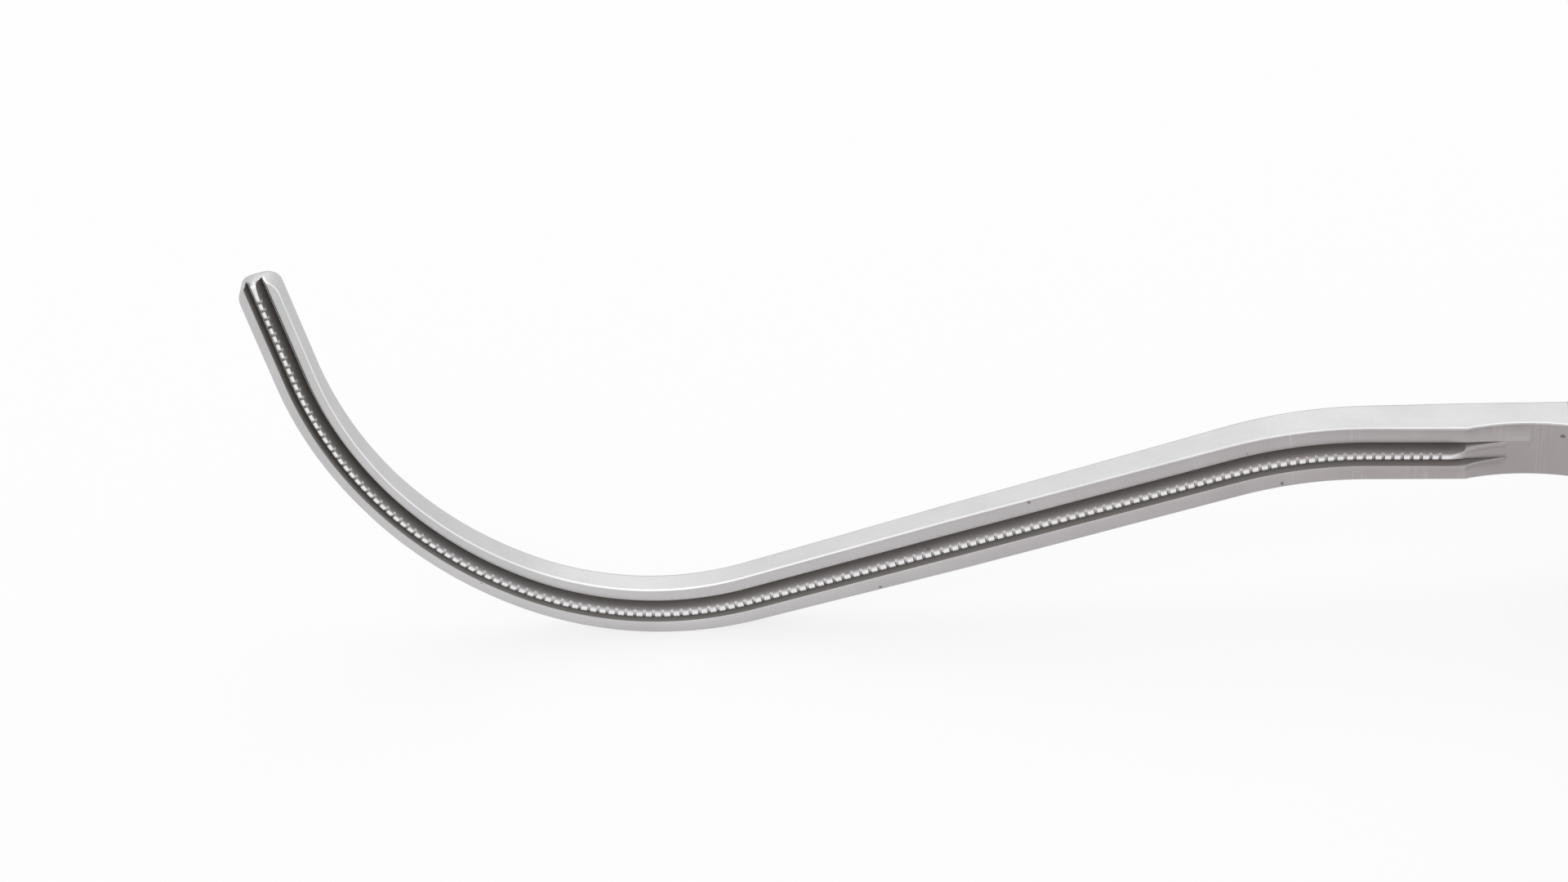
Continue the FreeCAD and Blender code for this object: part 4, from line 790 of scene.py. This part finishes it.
def ground_steel():
    """Jaw steel: duller ground face with short marks across it near the heel and bright sides, with painted
    shade in the grooves, painted highlights on the upper edge and tooth crests, and the face painted darker
    towards the heel.
    """
    look = settings().clamp_steel
    nodes = Nodes("ground_steel")
    place = nodes.attribute("blade_place").outputs["Vector"]
    looks = nodes.add("ShaderNodeSeparateXYZ", {"Vector": nodes.attribute("blade_look").outputs["Vector"]})
    shade, shine, ground = (looks.outputs[letter] for letter in "XYZ")
    along = nodes.add("ShaderNodeSeparateXYZ", {"Vector": place}).outputs["X"]
    lengthwise = nodes.noise(nodes.stretched(place, (160.0, 9000.0, 9000.0)), 1.0, 3.0)
    crosswise = nodes.noise(nodes.stretched(place, (7000.0, 160.0, 160.0)), 1.0, 2.0)
    speckle = nodes.noise(place, 9000.0, 2.0)
    clouds = nodes.noise(place, 260.0, 4.0)
    near_heel = nodes.math("MULTIPLY", nodes.remap(along, 24 * MM, 14 * MM, 0.0, 1.0), ground)
    patchy = nodes.noise(nodes.stretched(place, (420.0, 90.0, 0.0)), 1.0, 1.0)
    marked = nodes.math("MULTIPLY", near_heel, nodes.remap(patchy, 0.48, 0.62, 0.0, 1.0))
    marks = nodes.math("MULTIPLY", marked, nodes.remap(crosswise, 0.5, 0.75, 0.0, 1.0))
    pitted = nodes.remap(nodes.noise(place, 1300.0, 0.0), 0.165, 0.145, 0.0, 1.0)
    pits = nodes.math("MULTIPLY", pitted, ground)
    speckled = nodes.remap(speckle, 0.3, 0.7, -0.04, 0.04)
    tone = nodes.math("ADD", nodes.remap(clouds, 0.3, 0.7, 0.95, 1.03), speckled)
    tone = nodes.math("ADD", tone, nodes.math("MULTIPLY", marks, 0.22))
    tone = nodes.math("SUBTRACT", tone, nodes.math("MULTIPLY", pits, 0.5))
    # Painted shade: the face colour darkens from the tip towards the heel.
    heel_shade_share = nodes.remap(along, 75 * MM, -2 * MM, 0.0, 1.0)
    face = nodes.mixed(heel_shade_share, rgba(look.face_tip), rgba(look.shaded_face_heel))
    base = nodes.mixed(ground, rgba(look.side), face)
    tinted = nodes.mixed(1.0, base, tone, "MULTIPLY")
    # Painted shade: the groove colour mixed in by the painted shade share, darkest deep in the recesses.
    with_painted_groove_shade = nodes.mixed(shade, tinted, rgba(look.groove))
    # Painted highlight: the edge colour mixed in by the shine share, which also lowers the roughness there.
    bright = nodes.mixed(nodes.math("MULTIPLY", shine, 0.9), with_painted_groove_shade, rgba(look.edge))
    nodes.put(nodes.shader.inputs["Base Color"], bright)
    nodes.shader.inputs["Metallic"].default_value = 1.0
    nodes.shader.inputs["Specular Tint"].default_value = rgba(look.grazing)
    rough = nodes.remap(lengthwise, 0.25, 0.75, look.roughness - 0.04, look.roughness + 0.06)
    rough = nodes.math("SUBTRACT", rough, nodes.math("MULTIPLY", shine, 0.12))
    nodes.put(nodes.shader.inputs["Roughness"], rough)
    height = nodes.math("ADD", nodes.math("MULTIPLY", lengthwise, 0.4), nodes.math("MULTIPLY", marks, 0.6))
    nodes.put(nodes.shader.inputs["Normal"], nodes.bump(height, 0.15, 0.02 * MM))
    return nodes.material


def brushed_steel():
    """Shaft steel, brushed along its length."""
    look = settings().clamp_steel
    nodes = Nodes("brushed_steel")
    place = nodes.add("ShaderNodeTexCoord").outputs["Object"]
    streaks = nodes.noise(nodes.stretched(place, (40.0, 5200.0, 5200.0)), 1.0, 4.0)
    clouds = nodes.noise(place, 60.0, 3.0)
    streaked = nodes.remap(streaks, 0.3, 0.7, -0.06, 0.05)
    tone = nodes.math("ADD", nodes.remap(clouds, 0.3, 0.7, 0.94, 1.02), streaked)
    nodes.put(nodes.shader.inputs["Base Color"], nodes.mixed(1.0, rgba(look.satin), tone, "MULTIPLY"))
    nodes.shader.inputs["Metallic"].default_value = 1.0
    nodes.shader.inputs["Specular Tint"].default_value = rgba(look.grazing)
    nodes.put(nodes.shader.inputs["Roughness"], nodes.remap(streaks, 0.25, 0.75, 0.26, 0.42))
    nodes.put(nodes.shader.inputs["Normal"], nodes.bump(streaks, 0.22, 0.02 * MM))
    return nodes.material


def satin_steel():
    """Handle steel with a fine blasted grain and faint handling marks."""
    look = settings().clamp_steel
    nodes = Nodes("satin_steel")
    place = nodes.add("ShaderNodeTexCoord").outputs["Object"]
    grain = nodes.noise(place, 4200.0, 2.0)
    clouds = nodes.noise(place, 45.0, 4.0)
    rubbed = nodes.remap(nodes.noise(place, 140.0, 5.0, 0.65), 0.48, 0.66, 0.0, 1.0)
    grained = nodes.remap(grain, 0.3, 0.7, -0.03, 0.03)
    tone = nodes.math("ADD", nodes.remap(clouds, 0.3, 0.7, 0.93, 1.03), grained)
    nodes.put(nodes.shader.inputs["Base Color"], nodes.mixed(1.0, rgba(look.satin), tone, "MULTIPLY"))
    nodes.shader.inputs["Metallic"].default_value = 1.0
    nodes.shader.inputs["Specular Tint"].default_value = rgba(look.grazing)
    nodes.put(nodes.shader.inputs["Roughness"], nodes.remap(rubbed, 0.0, 1.0, 0.44, 0.34))
    nodes.put(nodes.shader.inputs["Normal"], nodes.bump(grain, 0.12, 0.02 * MM))
    return nodes.material


def turned_steel():
    """Pins, studs and screws, turned and ground flush."""
    look = settings().clamp_steel
    nodes = Nodes("turned_steel")
    place = nodes.add("ShaderNodeTexCoord").outputs["Object"]
    rings = nodes.noise(nodes.stretched(place, (900.0, 900.0, 6000.0)), 1.0, 3.0)
    tone = nodes.remap(rings, 0.3, 0.7, 0.92, 1.03)
    nodes.put(nodes.shader.inputs["Base Color"], nodes.mixed(1.0, rgba(look.pin), tone, "MULTIPLY"))
    nodes.shader.inputs["Metallic"].default_value = 1.0
    nodes.shader.inputs["Specular Tint"].default_value = rgba(look.grazing)
    nodes.put(nodes.shader.inputs["Roughness"], nodes.remap(rings, 0.25, 0.75, 0.16, 0.28))
    nodes.put(nodes.shader.inputs["Normal"], nodes.bump(rings, 0.1, 0.01 * MM))
    return nodes.material


def dress_node(name, material, edge_break):
    """CAD node with its steel finish and softly broken edges."""
    piece = frame["nodes"][name]
    piece.data.materials.clear()
    piece.data.materials.append(material)
    piece.data.shade_smooth()
    weld = piece.modifiers.new("merged corners", "WELD")
    weld.merge_threshold = CAD_MERGE
    bevel = piece.modifiers.new("broken edges", "BEVEL")
    bevel.width = edge_break
    bevel.segments = BEVEL_SEGMENTS
    bevel.limit_method = "ANGLE"
    bevel.angle_limit = math.radians(BEVEL_ANGLE)
    bevel.use_clamp_overlap = True
    bevel.harden_normals = True


class CLAMP_OT_fixed_jaw(bpy.types.Operator):
    """Ground fixed jaw with its toothed ridge, grooves and relief"""

    bl_idname = "clamp.fixed_jaw"
    bl_label = "Fixed jaw"

    def execute(self, context):
        cut = context.scene.clamp_jaw.root_cut
        mesh = joined(blade_mesh(RidgeSection), cad_rear("fixed_jaw", Matrix.Identity(4), cut))
        finished("fixed_jaw_ground", mesh, ground_steel(), "fixed_side", "fixed_jaw")
        return {"FINISHED"}


class CLAMP_OT_moving_jaw(bpy.types.Operator):
    """Ground moving jaw with its channel and toothed ribs"""

    bl_idname = "clamp.moving_jaw"
    bl_label = "Moving jaw"

    def execute(self, context):
        jaw = context.scene.clamp_jaw
        placed = jaw_open_matrix()
        blade = blade_mesh(RibSection)
        mirrored = Matrix.Translation((0, -jaw.jaw_gap, 0)) @ Matrix.Scale(-1, 4, (0, 1, 0))
        bmesh.ops.transform(blade, matrix=mirrored, verts=blade.verts)
        mesh = joined(blade, cad_rear("moving_jaw", placed, jaw.root_cut))
        bmesh.ops.transform(mesh, matrix=placed, verts=mesh.verts)
        steel = bpy.data.materials.get("ground_steel") or ground_steel()
        finished("moving_jaw_ground", mesh, steel, "swinging_jaw", "moving_jaw")
        return {"FINISHED"}


class CLAMP_OT_shaft(bpy.types.Operator):
    """Brushed finish of both halves of the shaft"""

    bl_idname = "clamp.shaft"
    bl_label = "Shaft"

    def execute(self, context):
        material = brushed_steel()
        for name in ("fixed_shaft_bar", "sliding_bar"):
            dress_node(name, material, context.scene.clamp_steel.edge_break / 2)
        return {"FINISHED"}


class CLAMP_OT_handles(bpy.types.Operator):
    """Satin finish of the handles and their ratchet"""

    bl_idname = "clamp.handles"
    bl_label = "Handles"

    def execute(self, context):
        material = satin_steel()
        edge_break = context.scene.clamp_steel.edge_break
        for name in ("fixed_handle", "moving_handle"):
            dress_node(name, material, edge_break)
        for name in ("fixed_ratchet", "moving_ratchet"):
            dress_node(name, material, edge_break / 4)
        return {"FINISHED"}


class CLAMP_OT_pins(bpy.types.Operator):
    """Turned finish of pins, studs, dowels, rivets, screws and the bush"""

    bl_idname = "clamp.pins"
    bl_label = "Pins and screws"

    def execute(self, context):
        material = turned_steel()
        slots = {entry["node"]: entry["material_slot"] for entry in frame["record"]["subparts"]}
        for name, slot in slots.items():
            if slot == "pin_steel":
                dress_node(name, material, context.scene.clamp_steel.edge_break / 4)
        return {"FINISHED"}


# Stage

FLOOR_SIZE = 3.0
FLOOR_GLOW = 0.75
PLANE_STEPS = 4
LAMPS = (
    ("overhead_box", (0.0, 0.35, 0.75), 0.9, 2.2),
    ("front_box", (-0.3, -0.9, 0.7), 0.7, 1.5),
)
ROOM_LIGHT = 0.75
ROOM_SEEN = 1.0


def stage_material(name, colour, share):
    """White ground that the picture and the steel see as white, and that still takes a shadow."""
    nodes = Nodes(name)
    rays = nodes.add("ShaderNodeLightPath")
    seen = nodes.math("ADD", rays.outputs["Is Camera Ray"], rays.outputs["Is Glossy Ray"])
    seen = nodes.math("ADD", seen, rays.outputs["Is Transmission Ray"])
    glow = nodes.math("MULTIPLY", nodes.math("MINIMUM", seen, 1.0), share)
    nodes.shader.inputs["Base Color"].default_value = rgba(colour)
    nodes.shader.inputs["Roughness"].default_value = 0.9
    nodes.shader.inputs["Specular IOR Level"].default_value = 0.0
    emission = nodes.add("ShaderNodeEmission", {"Color": (1, 1, 1, 1), "Strength": 1.0})
    mix = nodes.add("ShaderNodeMixShader", {0: glow, 1: nodes.shader.outputs[0], 2: emission.outputs[0]})
    nodes.tree.links.new(mix.outputs[0], nodes.tree.nodes["Material Output"].inputs["Surface"])
    return nodes.material


def lowest_point(node, up):
    """Point of a CAD node that lies lowest along a direction."""
    piece = frame["nodes"][node]
    return min((piece.matrix_world @ vert.co for vert in piece.data.vertices), key=up.dot)


def resting_plane():
    """Point and upward normal of the plane on which the open clamp lies: both jaws and the fixed ring."""
    normal = Vector((0.0, 0.0, 1.0))
    for step in range(PLANE_STEPS):
        touching = [lowest_point(name, normal) for name in ("fixed_jaw", "moving_jaw", "fixed_handle")]
        fixed, moving, ring = touching
        normal = (moving - fixed).cross(ring - fixed).normalized()
        if normal.z < 0:
            normal.negate()
    return fixed, normal


class CLAMP_OT_stage(bpy.types.Operator):
    """Floor, soft lamps, white surroundings and the camera at the photograph's angle"""

    bl_idname = "clamp.stage"
    bl_label = "Stage"

    def execute(self, context):
        look = context.scene.clamp_stage
        point, normal = resting_plane()
        floor_mesh = bmesh.new()
        bmesh.ops.create_grid(floor_mesh, x_segments=1, y_segments=1, size=FLOOR_SIZE)
        turn = Vector((0, 0, 1)).rotation_difference(normal).to_matrix().to_4x4()
        bmesh.ops.transform(floor_mesh, matrix=Matrix.Translation(point) @ turn, verts=floor_mesh.verts)
        data = bpy.data.meshes.new("floor")
        floor_mesh.to_mesh(data)
        floor_mesh.free()
        data.materials.append(stage_material("floor_white", look.floor, FLOOR_GLOW))
        floor = bpy.data.objects.new("floor", data)
        context.scene.collection.objects.link(floor)
        self.add_lamps(context)
        self.add_world(context)
        self.add_camera(context, look)
        context.scene.view_settings.view_transform = "Standard"
        return {"FINISHED"}

    def add_lamps(self, context):
        """Large soft boxes above and in front of the clamp."""
        centre = Vector(context.scene.clamp_stage.target)
        for name, place, size, watts in LAMPS:
            lamp = bpy.data.lights.new(name, "AREA")
            lamp.shape = "SQUARE"
            lamp.size = size
            lamp.energy = watts
            box = bpy.data.objects.new(name, lamp)
            box.location = centre + Vector(place)
            box.rotation_euler = (centre - box.location).to_track_quat("-Z", "Y").to_euler()
            context.scene.collection.objects.link(box)

    def add_world(self, context):
        """Even surroundings, seen as white by the picture and by the steel."""
        world = bpy.data.worlds.new("white_room")
        context.scene.world = world
        world.use_nodes = True
        nodes = world.node_tree.nodes
        links = world.node_tree.links
        background = nodes["Background"]
        rays = nodes.new("ShaderNodeLightPath")
        seen = None
        for output in ("Is Camera Ray", "Is Glossy Ray", "Is Transmission Ray"):
            if seen is None:
                seen = rays.outputs[output]
                continue
            add = nodes.new("ShaderNodeMath")
            add.operation = "MAXIMUM"
            links.new(seen, add.inputs[0])
            links.new(rays.outputs[output], add.inputs[1])
            seen = add.outputs[0]
        strength = nodes.new("ShaderNodeMapRange")
        strength.inputs["To Min"].default_value = ROOM_LIGHT
        strength.inputs["To Max"].default_value = ROOM_SEEN
        links.new(seen, strength.inputs["Value"])
        links.new(strength.outputs[0], background.inputs["Strength"])
        background.inputs["Color"].default_value = (1, 1, 1, 1)

    def add_camera(self, context, look):
        """Camera at the angle, distance and lens of the photograph."""
        data = bpy.data.cameras.new("camera")
        data.lens = look.lens
        data.sensor_width = 36.0
        data.clip_start = 0.01
        camera = bpy.data.objects.new("camera", data)
        away = Vector((0.0, -math.cos(look.elevation), math.sin(look.elevation)))
        camera.location = Vector(look.target) + look.distance * away
        camera.rotation_euler = (math.radians(90) - look.elevation, 0.0, 0.0)
        context.scene.collection.objects.link(camera)
        context.scene.camera = camera


STEPS = (
    CLAMP_OT_fixed_jaw,
    CLAMP_OT_moving_jaw,
    CLAMP_OT_shaft,
    CLAMP_OT_handles,
    CLAMP_OT_pins,
    CLAMP_OT_stage,
)


class CLAMP_PT_panel(bpy.types.Panel):
    """Sidebar panel with the clamp's pieces"""

    bl_idname = "CLAMP_PT_panel"
    bl_label = "Thoracoscopic clamp"
    bl_space_type = "VIEW_3D"
    bl_region_type = "UI"
    bl_category = "Clamp"

    def draw(self, context):
        for step in STEPS:
            self.layout.operator(step.bl_idname)


GROUPS = {"clamp_jaw": JawSizes, "clamp_steel": SteelLook, "clamp_stage": StageLook}


def register():
    for name, group in GROUPS.items():
        bpy.utils.register_class(group)
        setattr(bpy.types.Scene, name, bpy.props.PointerProperty(type=group))
    for step in STEPS:
        bpy.utils.register_class(step)
    bpy.utils.register_class(CLAMP_PT_panel)


def unregister():
    bpy.utils.unregister_class(CLAMP_PT_panel)
    for step in reversed(STEPS):
        bpy.utils.unregister_class(step)
    for name, group in GROUPS.items():
        delattr(bpy.types.Scene, name)
        bpy.utils.unregister_class(group)


def main():
    """Builds every piece and the stage."""
    register()
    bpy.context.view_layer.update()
    bpy.ops.clamp.fixed_jaw()
    bpy.ops.clamp.moving_jaw()
    bpy.ops.clamp.shaft()
    bpy.ops.clamp.handles()
    bpy.ops.clamp.pins()
    bpy.ops.clamp.stage()


if __name__ == "__main__":
    main()
